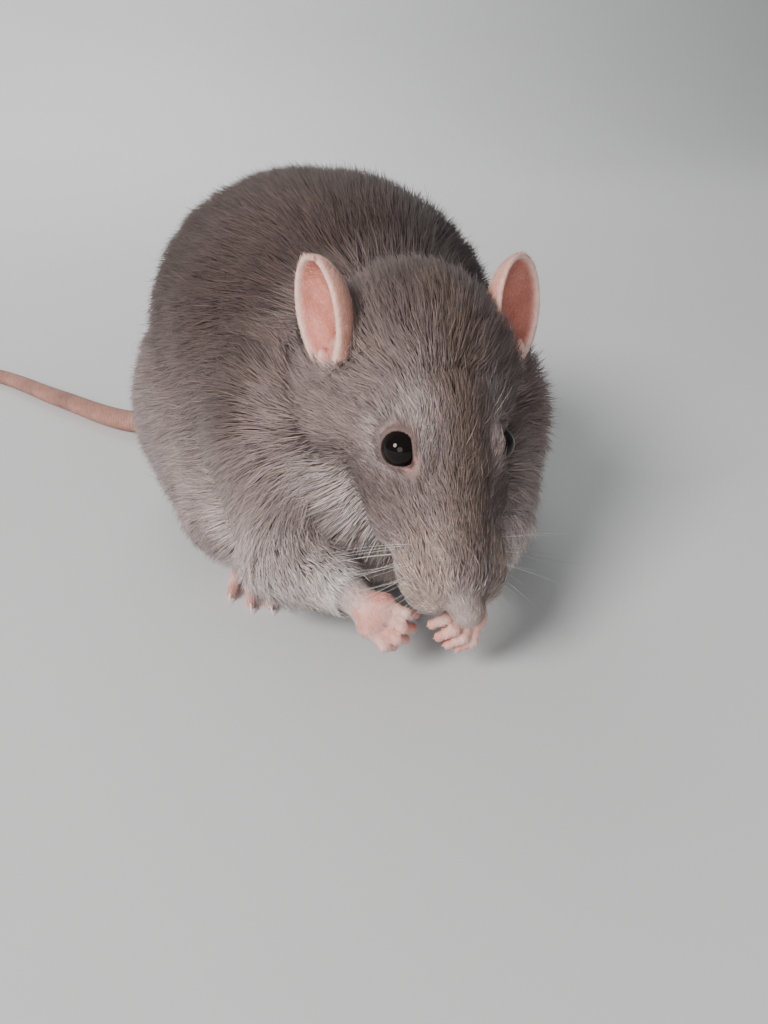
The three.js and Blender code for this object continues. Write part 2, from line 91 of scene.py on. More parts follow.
def ell(x, y, z, c, r):
    ax, ay, az = (x - F(c[0])) / F(r[0]), (y - F(c[1])) / F(r[1]), (z - F(c[2])) / F(r[2])
    k0 = np.sqrt(ax * ax + ay * ay + az * az)
    bx, by, bz = ax / F(r[0]), ay / F(r[1]), az / F(r[2])
    return k0 * (k0 - 1) / (np.sqrt(bx * bx + by * by + bz * bz) + F(1e-6))


def cone(x, y, z, a, b, ra, rb):
    bx, by, bz = (F(b[i] - a[i]) for i in range(3))
    px, py, pz = x - F(a[0]), y - F(a[1]), z - F(a[2])
    t = np.clip((px * bx + py * by + pz * bz) / (bx * bx + by * by + bz * bz), 0, 1)
    return np.sqrt((px - t * bx) ** 2 + (py - t * by) ** 2 + (pz - t * bz) ** 2) - (F(ra) + F(rb - ra) * t)


def along(x, y, z, a, b):
    b, a = np.asarray(b, float), np.asarray(a, float)
    d = b - a
    return np.clip(((x - F(a[0])) * F(d[0]) + (y - F(a[1])) * F(d[1]) + (z - F(a[2])) * F(d[2])) / F(d @ d), 0, 1)


def srgb(r, g, b):
    return np.array([((c / 255 + 0.055) / 1.055) ** 2.4 if c > 10 else c / 255 / 12.92 for c in (r, g, b)])


# ---------- the head's own frame: l to its left, f forward to the nose, u up ----------
def turned(v):
    y, p, r = (math.radians(a) for a in (HEAD_YAW, HEAD_PITCH, HEAD_ROLL))
    a, b, c = v
    a, c = math.cos(r) * a + math.sin(r) * c, -math.sin(r) * a + math.cos(r) * c
    b, c = math.cos(p) * b - math.sin(p) * c, math.sin(p) * b + math.cos(p) * c
    a, b = math.cos(y) * a - math.sin(y) * b, math.sin(y) * a + math.cos(y) * b
    return np.array([a, b, c])


HEAD = np.stack([turned((1, 0, 0)), turned((0, -1, 0)), turned((0, 0, 1))])


def to_head(x, y, z):
    qx, qy, qz = x - F(HEAD_AT[0]), y - F(HEAD_AT[1]), z - F(HEAD_AT[2])
    return tuple(qx * F(r[0]) + qy * F(r[1]) + qz * F(r[2]) for r in HEAD)


def from_head(q):
    return HEAD_AT + np.asarray(q, float) @ HEAD


def head_field(l, f, u):
    m = np.abs(l)
    d = ell(l, f, u, (0, -17, -2), (17, 17.5, 12.5))
    d = smin(d, ell(m, f, u, (9.5, -14.5, -8), (11, 12.5, 11)), 7)
    d = smin(d, ell(m, f, u, (6, -3, -7), (6, 10, 6.5)), 6)
    d = smin(d, cone(l, f, u, (0, -4, -1.5), (0, 21, -1), 10.4, 5.2), 5)
    d = smin(d, cone(l, f, u, (0, -6, 5.2), (0, 22.5, 1.2), 4.4, 3.2), 4)
    d = smin(d, cone(l, f, u, (0, -4, -9), (0, 17, -7.2), 6.5, 3.2), 3)
    d = smin(d, ell(m, f, u, (6.2, 7, -4.2), (6.4, 10.5, 6.3)), 5)
    d = smin(d, ell(m, f, u, (4.7, 18.6, -2.5), (5.6, 8.4, 4.9)), 2.5)
    d = smin(d, ell(l, f, u, (0, NOSE_LENGTH - 2.4, 0.3), (3, 3, 2.8)), 2)
    d = smin(d, ell(m, f, u, (6.6, -0.4, 2.7), (3.0, 6, 4.4)), 3)
    return d


# ---------- ears ----------
EAR = {}
for side, at, h, n in (("left", (19.5, -25.5, 3.4), (0.16, -0.94, 0.28), (0.42, 0.3, 0.76)),
                       ("right", (19.5, -24.4, -0.85), (0.141, -0.987, 0.067), (0.97, 0.17, -0.03))):
    h = unit(h)
    n = np.asarray(n, float)
    n = unit(n - h * (n @ h))
    EAR[side] = dict(s=1 if side == "left" else -1, at=np.asarray(at, float), h=h, n=n, w=np.cross(h, n))


def to_ear(side, l, f, u):
    e = EAR[side]
    a, b, c = F(e["s"]) * l - F(e["at"][0]), f - F(e["at"][1]), u - F(e["at"][2])
    return tuple(a * F(e[k][0]) + b * F(e[k][1]) + c * F(e[k][2]) for k in ("w", "h", "n"))


def from_ear(side, a, b, c):
    e = EAR[side]
    q = e["at"] + e["w"] * a + e["h"] * b + e["n"] * c
    return from_head((e["s"] * q[0], q[1], q[2]))


def ear_field(side, l, f, u):
    w, h, n = to_ear(side, l, f, u)
    egg = ell(w, h, n, (0, 0, 0), (EAR_W - 0.1, EAR_H - 0.1, EAR_D))
    # folds of the concha run up from the root, and the rim is a little rolled
    fan = np.arctan2(w, h + EAR_H + 3)
    fold = F(0.24) * np.cos(fan * 13) * (1 - step(-6, 3, h)) * step(0.3, 3, -n)
    t = F(1.02) + F(0.45) * (1 - step(-10, -2, h)) + F(0.12) * np.exp(-(n / F(0.9)) ** 2)
    d = smax(np.abs(egg - fold * (egg < 0)) - t / 2, n, 0.8)
    d = smin(d, cone(w, h, n, (0, -EAR_H * 0.62, -3.6), (-1, -EAR_H - 2.5, -5), 2.5, 3.2), 1.5)
    # the lobes either side of the notch at the root of the opening
    d = smin(d, ell(w, h, n, (-3.6, -EAR_H * 0.74, -1.5), (1.1, 2.2, 1.3)), 1.0)
    return smin(d, ell(w, h, n, (3.4, -EAR_H * 0.76, -1.6), (1.2, 2.0, 1.2)), 1.0)


# ---------- trunk ----------
NECK_END = from_head((0, -17, -4))


def trunk_field(x, y, z):
    t = x + F(BEND) * y
    m = np.abs(t)
    d = ell(t, y, z, (0.8, 22, 40.5), (36, 37, 37.5))
    d = smin(d, ell(t, y, z, (0, 1, 41), (35, 30, 37)), 12)
    d = smin(d, ell(t, y, z, (0, -26, 27), (27, 24.5, 22)), 10)
    d = smin(d, ell(t, y, z, (0, 6, 22), (35, 38, 21)), 10)
    d = smin(d, ell(m, y, z, (25.5, 20, 24), (16.5, 28, 23)), 8)
    d = smin(d, ell(m, y, z, (25, -3, 15), (14.5, 25, 14.5)), 8)
    d = smin(d, ell(m, y, z, (20, -19, 34), (15, 18, 20)), 8)
    return smin(d, cone(x, y, z, (0, -13, 48), NECK_END, 21, 14), 8)


# ---------- limbs ----------
SHOULDER = {"left": (20, -24, 30), "right": (-19, -22, 30)}
ELBOW = {"left": (17.3, -36, 18), "right": (-23.3, -33, 17)}
WRIST = {"left": (6.3, -53.2, 15.3), "right": (-16.3, -48.6, 15.6)}
PALM = {"left": (2.2, -57.9, 13.6), "right": (-13.6, -53.2, 13.7)}
HAND_BACK = {"left": (0.62, -0.45, 0.64), "right": (-0.72, -0.4, 0.57)}
HAND, BONES = {}, {}
for side in ("left", "right"):
    d = unit(np.subtract(PALM[side], WRIST[side]))
    b = np.asarray(HAND_BACK[side], float)
    b = unit(b - d * (b @ d))
    HAND[side] = (d, b, np.cross(d, b))


def hand_point(side, a, b, c):
    h = HAND[side]
    return np.asarray(PALM[side], float) + h[0] * a + h[1] * b + h[2] * c


for side in ("left", "right"):
    BONES[side] = [
        (hand_point(side, 1.2, 0.4, k * 0.9), hand_point(side, 4.6 + r, -0.2, k * 1.15), hand_point(side, 5.2 + r, -3.4, k * 1.15))
        for k, r in ((-3.1, 0), (-1.1, 1), (1.0, 1.2), (3.0, 0.2))
    ]


def arm_field(side, x, y, z, grown=True):
    d = cone(x, y, z, SHOULDER[side], ELBOW[side], 13, 9.5)
    e = cone(x, y, z, ELBOW[side], WRIST[side], 9, 4.2)
    if not grown:
        d = d + F(5.2)
        e = e + F(4.8) - F(3.8) * along(x, y, z, ELBOW[side], WRIST[side]) ** 0.8
    return smin(d, e, 4)


def hand_field(side, x, y, z):
    d = cone(x, y, z, WRIST[side], PALM[side], 3.0, 3.2)
    d = smin(d, cone(x, y, z, hand_point(side, 0.6, 0, -2.2), hand_point(side, 0.6, 0, 2.2), 2.35, 2.35), 1.5)
    for p in (hand_point(side, 0.4, -2.0, -1.9), hand_point(side, 0.4, -2.0, 1.8), hand_point(side, -2.2, -1.6, -1.6)):
        d = smin(d, cone(x, y, z, p, p + 0.01, 1.15, 1.15), 0.5)
    for a, b, c in BONES[side]:
        g = smin(cone(x, y, z, a, b, 1.2, 1.0), cone(x, y, z, b, c, 1.05, 0.72), 0.4)
        mid = b + (c - b) * 0.5
        g = smin(g, cone(x, y, z, mid, mid + 0.01, 0.98, 0.98), 0.35)
        g = smin(g, cone(x, y, z, c, c + 0.01, 0.92, 0.92), 0.3)
        d = smin(d, g, 0.45)
    return d


HEEL = {"left": (27, 13, 3.2), "right": (-27.5, 10.5, 3.2)}
BALL = {"left": (27.5, -11, 2.6), "right": (-26, -14, 2.6)}
TOES = [(3.6, -8, 7.2, -15.5), (2.1, -11, 4.2, -20.5), (0, -12, 0.6, -22.5), (-2.1, -11, -3.2, -21.5), (-3.6, -6.5, -6.6, -14)]


def toe(side, i):
    s, c, y0 = (1 if side == "left" else -1), BALL[side][0], BALL[side][1] + 9
    a, b, e, f = TOES[i]
    return np.array([c + s * a, y0 + b, 2.3]), np.array([c + s * e, y0 + f, 1.15])


def foot_field(side, x, y, z):
    c, y0 = BALL[side][0], BALL[side][1] + 9
    d = cone(x, y, z, HEEL[side], BALL[side], 3.3, 2.9)
    d = smin(d, ell(x, y, z, (c, y0 - 7.5, 2.3), (4.9, 7.8, 2.9)), 2)
    for i in range(5):
        a, b = toe(side, i)
        k = a + (b - a) * 0.52 + np.array([0, 0, 0.25])
        g = smin(cone(x, y, z, a, k, 1.45, 1.12), cone(x, y, z, k, b, 1.12, 0.85), 0.3)
        g = smin(g, cone(x, y, z, k, k + 0.01, 1.25, 1.25), 0.3)
        d = smin(d, g, 0.6)
    return d


def shank_field(side, x, y, z):
    s = 1 if side == "left" else -1
    return cone(x, y, z, (s * 31, -6, 13), (HEEL[side][0], 10, 6.5), 8, 5.5)


# ---------- outer form of the coat, and the skin under it ----------
def coat_form(x, y, z):
    d = smin(trunk_field(x, y, z), head_field(*to_head(x, y, z)), 7)
    for side in ("left", "right"):
        d = smin(d, arm_field(side, x, y, z), 4)
        d = smin(d, shank_field(side, x, y, z), 3)
    return d


def head_depth(l, f, u):
    d = np.interp(f, [-34, -22, -12, -4, 4, 12, 20, 26, 29.5], [5.4, 4.2, 3.2, 2.4, 1.8, 1.35, 0.95, 0.45, 0.12]).astype(F)
    e = np.sqrt((np.abs(l) - EYE_AT[0]) ** 2 + (f - EYE_AT[1]) ** 2 + (u - EYE_AT[2]) ** 2)
    return d * (F(0.40) + F(0.60) * step(3.0, 13, e).astype(F))


EYE_OUT = unit((0.73, 0.25, 0.64))
EYE_ALONG = np.array([-0.62, 0.74, 0.0])
EYE_ALONG = unit(EYE_ALONG - EYE_OUT * (EYE_ALONG @ EYE_OUT))
EYE_UP = np.cross(EYE_OUT, EYE_ALONG)


def eye_opening(m, f, u):
    """Distance outside the almond of the lids, and distance from the eye's middle."""
    a, b, c = m - F(EYE_AT[0]), f - F(EYE_AT[1]), u - F(EYE_AT[2])
    r = np.sqrt(a * a + b * b + c * c) + F(1e-6)
    pa, pb, pc = ((a * F(v[0]) + b * F(v[1]) + c * F(v[2])) / r for v in (EYE_ALONG, EYE_UP, EYE_OUT))
    long = np.where(pa > 0, F(0.95), F(0.82))
    ahead = np.clip(pa, 0, 1)
    high = np.where(pb > 0, F(0.81) * (1 - F(0.54) * ahead ** 1.2), F(0.84) * (1 - F(0.50) * ahead ** 1.6))
    o = (np.sqrt((pa / long) ** 2 + (pb / high) ** 2) - 1) * F(EYE_R * 0.72)
    return np.where(pc > 0, o, F(3.0)), r


def boxed(d, x, y, z, lo, hi, fn, k):
    m = (x > lo[0]) & (x < hi[0]) & (y > lo[1]) & (y < hi[1]) & (z > lo[2]) & (z < hi[2])
    if m.any():
        kk = k[m] if isinstance(k, np.ndarray) else k
        d[m] = smin(d[m], fn(x[m], y[m], z[m]), kk)


def box_round(points, margin):
    p = np.asarray(points, float)
    return p.min(0) - margin, p.max(0) + margin


HAND_BOX = {s: box_round([WRIST[s], PALM[s]] + [q for t in BONES[s] for q in t], 8) for s in ("left", "right")}
FOOT_BOX = {s: box_round([HEEL[s], BALL[s]] + [toe(s, i)[1] for i in range(5)], 9) for s in ("left", "right")}
EAR_BOX = {s: box_round([from_ear(s, a, b, c) for a in (-9, 9) for b in (-14, 11) for c in (-8, 1)], 5) for s in ("left", "right")}
EYE_BOX = {s: box_round([from_head((s * EYE_AT[0], EYE_AT[1], EYE_AT[2]))], 8) for s in (1, -1)}


def skin_field(x, y, z):
    l, f, u = to_head(x, y, z)
    fade = (F(0.36) + F(0.64) * step(0.5, 13, z)).astype(F)
    d = smin(trunk_field(x, y, z) + F(6.4) * fade, head_field(l, f, u) + head_depth(l, f, u), 7)
    for side in ("left", "right"):
        d = smin(d, arm_field(side, x, y, z, False), 4)
        d = smin(d, shank_field(side, x, y, z) + F(2.2), 3)
    tail = [np.asarray(p, float) for p in TAIL_PATH]
    d = smin(d, cone(x, y, z, tail[0], tail[1], 5.0, 3.6), 6)
    d = smax(d, F(0.9) - z, 1.0)
    for side in ("left", "right"):
        p, q = HAND_BOX[side]
        wrist = WRIST[side]
        k = F(0.25) + F(1.5) * np.exp(-((x - wrist[0]) ** 2 + (y - wrist[1]) ** 2 + (z - wrist[2]) ** 2) / F(9)).astype(F)
        boxed(d, x, y, z, p, q, lambda a, b, c: hand_field(side, a, b, c), k)
        p, q = FOOT_BOX[side]
        boxed(d, x, y, z, p, q, lambda a, b, c: smax(foot_field(side, a, b, c), F(0.02) - c, 0.3), 1.2)
        p, q = EAR_BOX[side]
        boxed(d, x, y, z, p, q, lambda a, b, c: ear_field(side, *to_head(a, b, c)), 1.3)
    for s in (1, -1):
        p, q = EYE_BOX[s]
        m = (x > p[0]) & (x < q[0]) & (y > p[1]) & (y < q[1]) & (z > p[2]) & (z < q[2])
        if m.any():
            o, r = eye_opening(np.abs(l[m]), f[m], u[m])
            carved = smax(d[m], F(EYE_R + 0.02) - r, 0.25)
            rim = F(0.16) + F(0.14) * np.exp(-((o - F(0.3)) / F(0.35)) ** 2)
            lid = smax(smax(r - F(EYE_R) - rim, F(EYE_R - 0.35) - r, 0.2), -o, 0.3)
            d[m] = smin(carved, lid, 0.7)
    # nostrils, groove under the nose, and the mouth
    g = f > 8
    if g.any():
        m, ff, uu = np.abs(l[g]), f[g], u[g]
        e = smax(d[g], -cone(m, ff, uu, (0.9, 30.0, -1.7), (1.7, 28.2, -2.3), 0.40, 0.46), 0.25)
        e = smax(e, -cone(m, ff, uu, (0, 30.2, -2.8), (0, 25.0, -6.8), 0.2, 0.24), 0.3)
        e = smax(e, -cone(m, ff, uu, (0, 25.4, -6.7), (3.6, 20.0, -8.2), 0.26, 0.3), 0.35)
        e = smax(e, -cone(m, ff, uu, (3.6, 20.0, -8.2), (6.2, 14.0, -7.6), 0.3, 0.2), 0.35)
        d[g] = e
    return d


def sampled(fn, pts, chunk=400000):
    out = np.empty(len(pts), F)
    p = pts.astype(F)
    for i in range(0, len(p), chunk):
        q = p[i:i + chunk]
        out[i:i + chunk] = fn(q[:, 0].copy(), q[:, 1].copy(), q[:, 2].copy())
    return out


def gradient(fn, pts, e=0.12):
    g = np.stack([sampled(fn, pts + np.eye(3)[i] * e) - sampled(fn, pts - np.eye(3)[i] * e) for i in range(3)], 1)
    return g.astype(float) / (2 * e)


# ---------- surface of a field on a grid whose steps are finer where detail is ----------
def axis_of(*spans):
    pts = [spans[0][0]]
    for lo, hi, h in spans:
        pts += list(np.linspace(lo, hi, max(1, round((hi - lo) / h)) + 1)[1:])
    return np.array(pts)


def surface(fn, xs, ys, zs, B=6):
    X = [xs, ys, zs]
    n = [len(a) for a in X]
    nb = [math.ceil((k - 1) / B) for k in n]
    mid, half = [], []
    for a, k, b in zip(X, n, nb):
        lo = a[np.minimum(np.arange(b) * B, k - 1)]
        hi = a[np.minimum(np.arange(1, b + 1) * B, k - 1)]
        mid.append((lo + hi) / 2)
        half.append((hi - lo) / 2)
    C = np.stack(np.meshgrid(*mid, indexing="ij"), -1).reshape(-1, 3)
    R = np.sqrt(sum(g ** 2 for g in np.meshgrid(*half, indexing="ij"))).ravel()
    D = sampled(fn, C)
    near = np.abs(D) < R * 1.25 + 1.5
    idx = [np.minimum(np.arange(k) // B, b - 1) for k, b in zip(n, nb)]
    V = D.reshape(nb)[np.ix_(*idx)].copy()
    want = np.zeros(n, bool)
    bi, bj, bk = np.nonzero(near.reshape(nb))
    r = np.arange(B + 1)
    for a, b, c in zip(bi, bj, bk):
        want[a * B:a * B + B + 1, b * B:b * B + B + 1, c * B:c * B + B + 1] = True
    i, j, k = np.nonzero(want)
    V[i, j, k] = sampled(fn, np.stack([xs[i], ys[j], zs[k]], 1))
    S = V < 0
    cnt = np.zeros([k - 1 for k in n], np.int8)
    for a in (0, 1):
        for b in (0, 1):
            for c in (0, 1):
                cnt += S[a:n[0] - 1 + a, b:n[1] - 1 + b, c:n[2] - 1 + c]
    ci, cj, ck = np.nonzero((cnt > 0) & (cnt < 8))
    ids = np.full(cnt.shape, -1, np.int64)
    ids[ci, cj, ck] = np.arange(len(ci))
    corner = [(a, b, c) for a in (0, 1) for b in (0, 1) for c in (0, 1)]
    val = np.stack([V[ci + a, cj + b, ck + c] for a, b, c in corner], 1).astype(float)
    pos = np.stack([np.stack([xs[ci + a], ys[cj + b], zs[ck + c]], 1) for a, b, c in corner], 1)
    tot, m = np.zeros((len(ci), 3)), np.zeros(len(ci))
    for p in range(8):
        for bit in (4, 2, 1):
            if p & bit:
                continue
            q = p | bit
            va, vb = val[:, p], val[:, q]
            x = (va < 0) != (vb < 0)
            t = np.where(x, va / np.where(x, va - vb, 1), 0)
            tot += np.where(x[:, None], pos[:, p] + t[:, None] * (pos[:, q] - pos[:, p]), 0)
            m += x
    pts = tot / m[:, None]
    quads = []
    for c in range(3):
        lo = [slice(0, k) for k in n]
        hi = [slice(0, k) for k in n]
        lo[c], hi[c] = slice(0, n[c] - 1), slice(1, n[c])
        A, Bv = S[tuple(lo)], S[tuple(hi)]
        w = np.stack(np.nonzero(A != Bv), 1)
        p, q = np.eye(3, dtype=int)[(c + 1) % 3], np.eye(3, dtype=int)[(c + 2) % 3]
        ok = (w[:, (c + 1) % 3] > 0) & (w[:, (c + 2) % 3] > 0) & (w[:, (c + 1) % 3] < n[(c + 1) % 3] - 1) & (w[:, (c + 2) % 3] < n[(c + 2) % 3] - 1)
        w = w[ok]
        quad = np.stack([ids[tuple((w - e * p - g * q).T)] for e, g in ((1, 1), (0, 1), (0, 0), (1, 0))], 1)
        flip = ~A[tuple(w.T)]
        quad[flip] = quad[flip][:, ::-1]
        quads.append(quad)
    return pts, np.concatenate(quads)


xs = axis_of((-52, -37, 1.5), (-37, -31, 0.7), (-31, -20, 0.46), (-20, 12, 0.42), (12, 30, 0.46), (30, 37, 0.7), (37, 49, 1.5))
ys = axis_of((-70, -44, 0.42), (-44, -18, 0.46), (-18, 18, 0.9), (18, 66, 1.6))
zs = axis_of((-1, 20, 0.42), (20, 36, 0.5), (36, 70, 0.46), (70, 79, 1.5))
skin_pts, skin_quads = surface(skin_field, xs, ys, zs)
clock("skin net %d" % len(skin_quads))
for turn in range(2):
    d = sampled(skin_field, skin_pts).astype(float)
    g = gradient(skin_field, skin_pts)
    g2 = np.maximum((g * g).sum(1), 0.2)
    move = -g * (d / g2)[:, None]
    far = np.sqrt((move ** 2).sum(1, keepdims=True))
    skin_pts = skin_pts + move * np.minimum(1, 0.3 / np.maximum(far, 1e-9))
skin_nrm = rows_unit(gradient(skin_field, skin_pts, 0.3))
clock("skin settled")


# ---------- where things are, for markings and for the lie of the coat ----------
def noise3(p, size, seed):
    """Smooth value noise from a hashed lattice, about -1 to 1."""
    q = p / size + seed * 17.31
    i = np.floor(q).astype(np.int64)
    t = q - i
    t = t * t * (3 - 2 * t)
    out = np.zeros(len(p))
    for a in (0, 1):
        for b in (0, 1):
            for c in (0, 1):
                h = (i[:, 0] + a) * 73856093 ^ (i[:, 1] + b) * 19349663 ^ (i[:, 2] + c) * 83492791 ^ (seed * 2654435761)
                h = (h ^ (h >> 13)) * 1274126177
                v = ((h ^ (h >> 16)) & 0xFFFF) / 32767.5 - 1
                w = (t[:, 0] if a else 1 - t[:, 0]) * (t[:, 1] if b else 1 - t[:, 1]) * (t[:, 2] if c else 1 - t[:, 2])
                out += v * w
    return out


def places(p):
    """Named distances and masks at each point, in millimetres or 0 to 1."""
    x, y, z = (p[:, i].astype(F) for i in range(3))
    l, f, u = to_head(x, y, z)
    r = dict(x=x, y=y, z=z, l=l, f=f, u=u, t=x + F(BEND) * y)
    r["head"] = head_field(l, f, u)
    r["trunk"] = trunk_field(x, y, z)
    r["form"] = coat_form(x, y, z)
    for side in ("left", "right"):
        r["ear_" + side] = ear_field(side, l, f, u)
        r["hand_" + side] = hand_field(side, x, y, z)
        r["foot_" + side] = foot_field(side, x, y, z)
        r["arm_" + side] = arm_field(side, x, y, z)
        r["shank_" + side] = shank_field(side, x, y, z)
    r["ear"] = np.minimum(r["ear_left"], r["ear_right"])
    r["hand"] = np.minimum(r["hand_left"], r["hand_right"])
    r["foot"] = np.minimum(r["foot_left"], r["foot_right"])
    r["arm"] = np.minimum(r["arm_left"], r["arm_right"])
    r["shank"] = np.minimum(r["shank_left"], r["shank_right"])
    o, e = eye_opening(np.abs(l), f, u)
    r["lid"], r["eye"] = o, e
    r["nose"] = np.sqrt((l / 1.15) ** 2 + (f - 29.0) ** 2 + ((u + 2.0) / 1.0) ** 2)
    cup = np.zeros(len(p))
    for side in ("left", "right"):
        w, h, k = to_ear(side, l, f, u)
        egg = ell(w, h, k, (0, 0, 0), (EAR_W, EAR_H, EAR_D))
        cup = np.maximum(cup, (1 - step(-0.2, 0.4, egg)) * (k < 0.6) * (r["ear_" + side] < 1.0))
    is_ear = np.maximum((1 - step(0.25, 1.1, r["ear"])) * step(-3, 0.6, r["form"]), cup)
    is_hand = 1 - step(0.3, 0.9, r["hand"])
    wrist = np.maximum(*[along(x, y, z, WRIST[s], PALM[s]) * (r["hand_" + s] < 1.0) for s in ("left", "right")])
    r["is_ear"], r["is_hand"] = is_ear, is_hand * step(0.1, 0.75, wrist)
    ankle = np.maximum(*[(1 - along(x, y, z, HEEL[s], BALL[s])) * (r["foot_" + s] < 1.5) for s in ("left", "right")])
    r["is_foot"] = (1 - step(0.3, 1.0, r["foot"])) * (1 - step(0.75, 1.0, ankle) * 0.6)
    r["is_nose"] = 1 - step(1.7, 2.3, r["nose"])
    r["is_lid"] = 1 - step(EYE_R + 0.5, EYE_R + 1.5, e)
    return r


# coat colours, by name; the dark back colour also serves as painted shade, and the last colour of the second row is
# painted shade only
TAUPE, DARK_BACK_AND_SHADE, FLANK, CREAM = srgb(124, 108, 104), srgb(80, 66, 62), srgb(170, 153, 149), srgb(214, 200, 195)
STREAK, CHEEK, BROW, PAD, LIP, PAINTED_SHADE = srgb(106, 89, 79), srgb(140, 122, 117), srgb(182, 167, 162), srgb(186, 164, 152), srgb(230, 219, 213), srgb(98, 83, 79)
PINK, ROSE, DEEP, PALE = srgb(232, 178, 165), srgb(214, 140, 124), srgb(168, 74, 62), srgb(238, 205, 190)


def mix(a, b, t):
    t = np.clip(t, 0, 1)[:, None]
    return a * (1 - t) + b * t


def coat_colour(p, n, r):
    c = np.tile(TAUPE, (len(p), 1))
    body = step(-6, 8, r["head"])
    # darker over the top of the back: partly the coat's own darker back, partly painted shade on the top of the body
    c = mix(c, DARK_BACK_AND_SHADE, body * step(34, 60, r["z"]))
    c = mix(c, FLANK, body * (1 - step(20, 50, r["z"])) * 0.8)
    c = mix(c, CREAM, body * (1 - step(4, 22, r["z"])) * (1 - step(-38, 0, r["y"])) * 0.75)
    c = mix(c, CREAM, step(-5, 1, r["head"]) * (1 - step(16, 27, r["z"])) * (1 - step(-46, -36, r["y"])) * 0.75)
    c = mix(c, CREAM, body * (1 - step(0, 9, r["z"])) * 0.55)
    c = mix(c, CREAM, (1 - step(-1, 4, r["arm"])) * step(-4, 3, r["head"]) * 0.55 * (1 - step(14, 28, r["z"])))
    # painted shade: a dark patch on the near (right) shoulder only, in the crease behind the cheek and under the ear
    c = mix(c, DARK_BACK_AND_SHADE, body * np.exp(-((r["x"] + 23) / 9) ** 2 - ((r["y"] + 22) / 9) ** 2) * step(30, 44, r["z"]) * 0.7)
    head = 1 - step(-2, 9, r["head"])
    l, f, u = r["l"], r["f"], r["u"]
    m = np.abs(l)
    c = mix(c, CHEEK, head * step(7, 14, m) * 0.7)
    c = mix(c, DARK_BACK_AND_SHADE, head * (1 - step(-26, -10, f)) * (1 - step(6, 15, m)) * step(-2, 5, u) * 0.8)
    c = mix(c, STREAK, head * (1 - step(1.2, 4.6, m)) * step(0, 4, u) * 0.6 * (1 - step(17, 24, f)))
    c = mix(c, BROW, head * np.exp(-((r["eye"] - 4.2) / 1.5) ** 2) * 0.45)
    c = mix(c, BROW, head * np.exp(-((m - 6.5) / 2.6) ** 2 - ((f + 5) / 5.5) ** 2) * step(2, 5, u) * 0.5)
    # painted shade on the cheek below the eye, beside the muzzle
    c = mix(c, PAINTED_SHADE, head * np.exp(-((m - 10) / 4.0) ** 2 - ((f - 7) / 5.5) ** 2 - ((u + 4) / 4.5) ** 2) * 0.6)
    c = mix(c, PAD, head * step(13, 19, f) * step(2.2, 5, m) * 0.75)
    c = mix(c, LIP, head * step(12, 22, f) * (1 - step(-6, -2.6, u)) * 0.9)
    c = mix(c, CREAM, head * (1 - step(-13, -8, u)) * step(-8, 3, f) * 0.8)
    c = mix(c, PAD, head * step(24, 28, f) * 0.5)
    # painted shade on the head's coat around the root of each ear
    c = mix(c, PAINTED_SHADE, np.exp(-(r["ear"] / 2.6) ** 2) * head * (r["ear"] > 0.5) * 0.3)
    c = mix(c, LIP, r["is_hand"] * 0.9)
    c = mix(c, LIP, (1 - step(0.5, 5, r["hand"])) * 0.8)
    c = mix(c, LIP, r["is_foot"] * 0.8)
    mottle = 1 + 0.10 * noise3(p, 5.5, 3) + 0.07 * noise3(p, 2.2, 5) + 0.06 * noise3(p, 14.0, 7)
    return c * mottle[:, None]


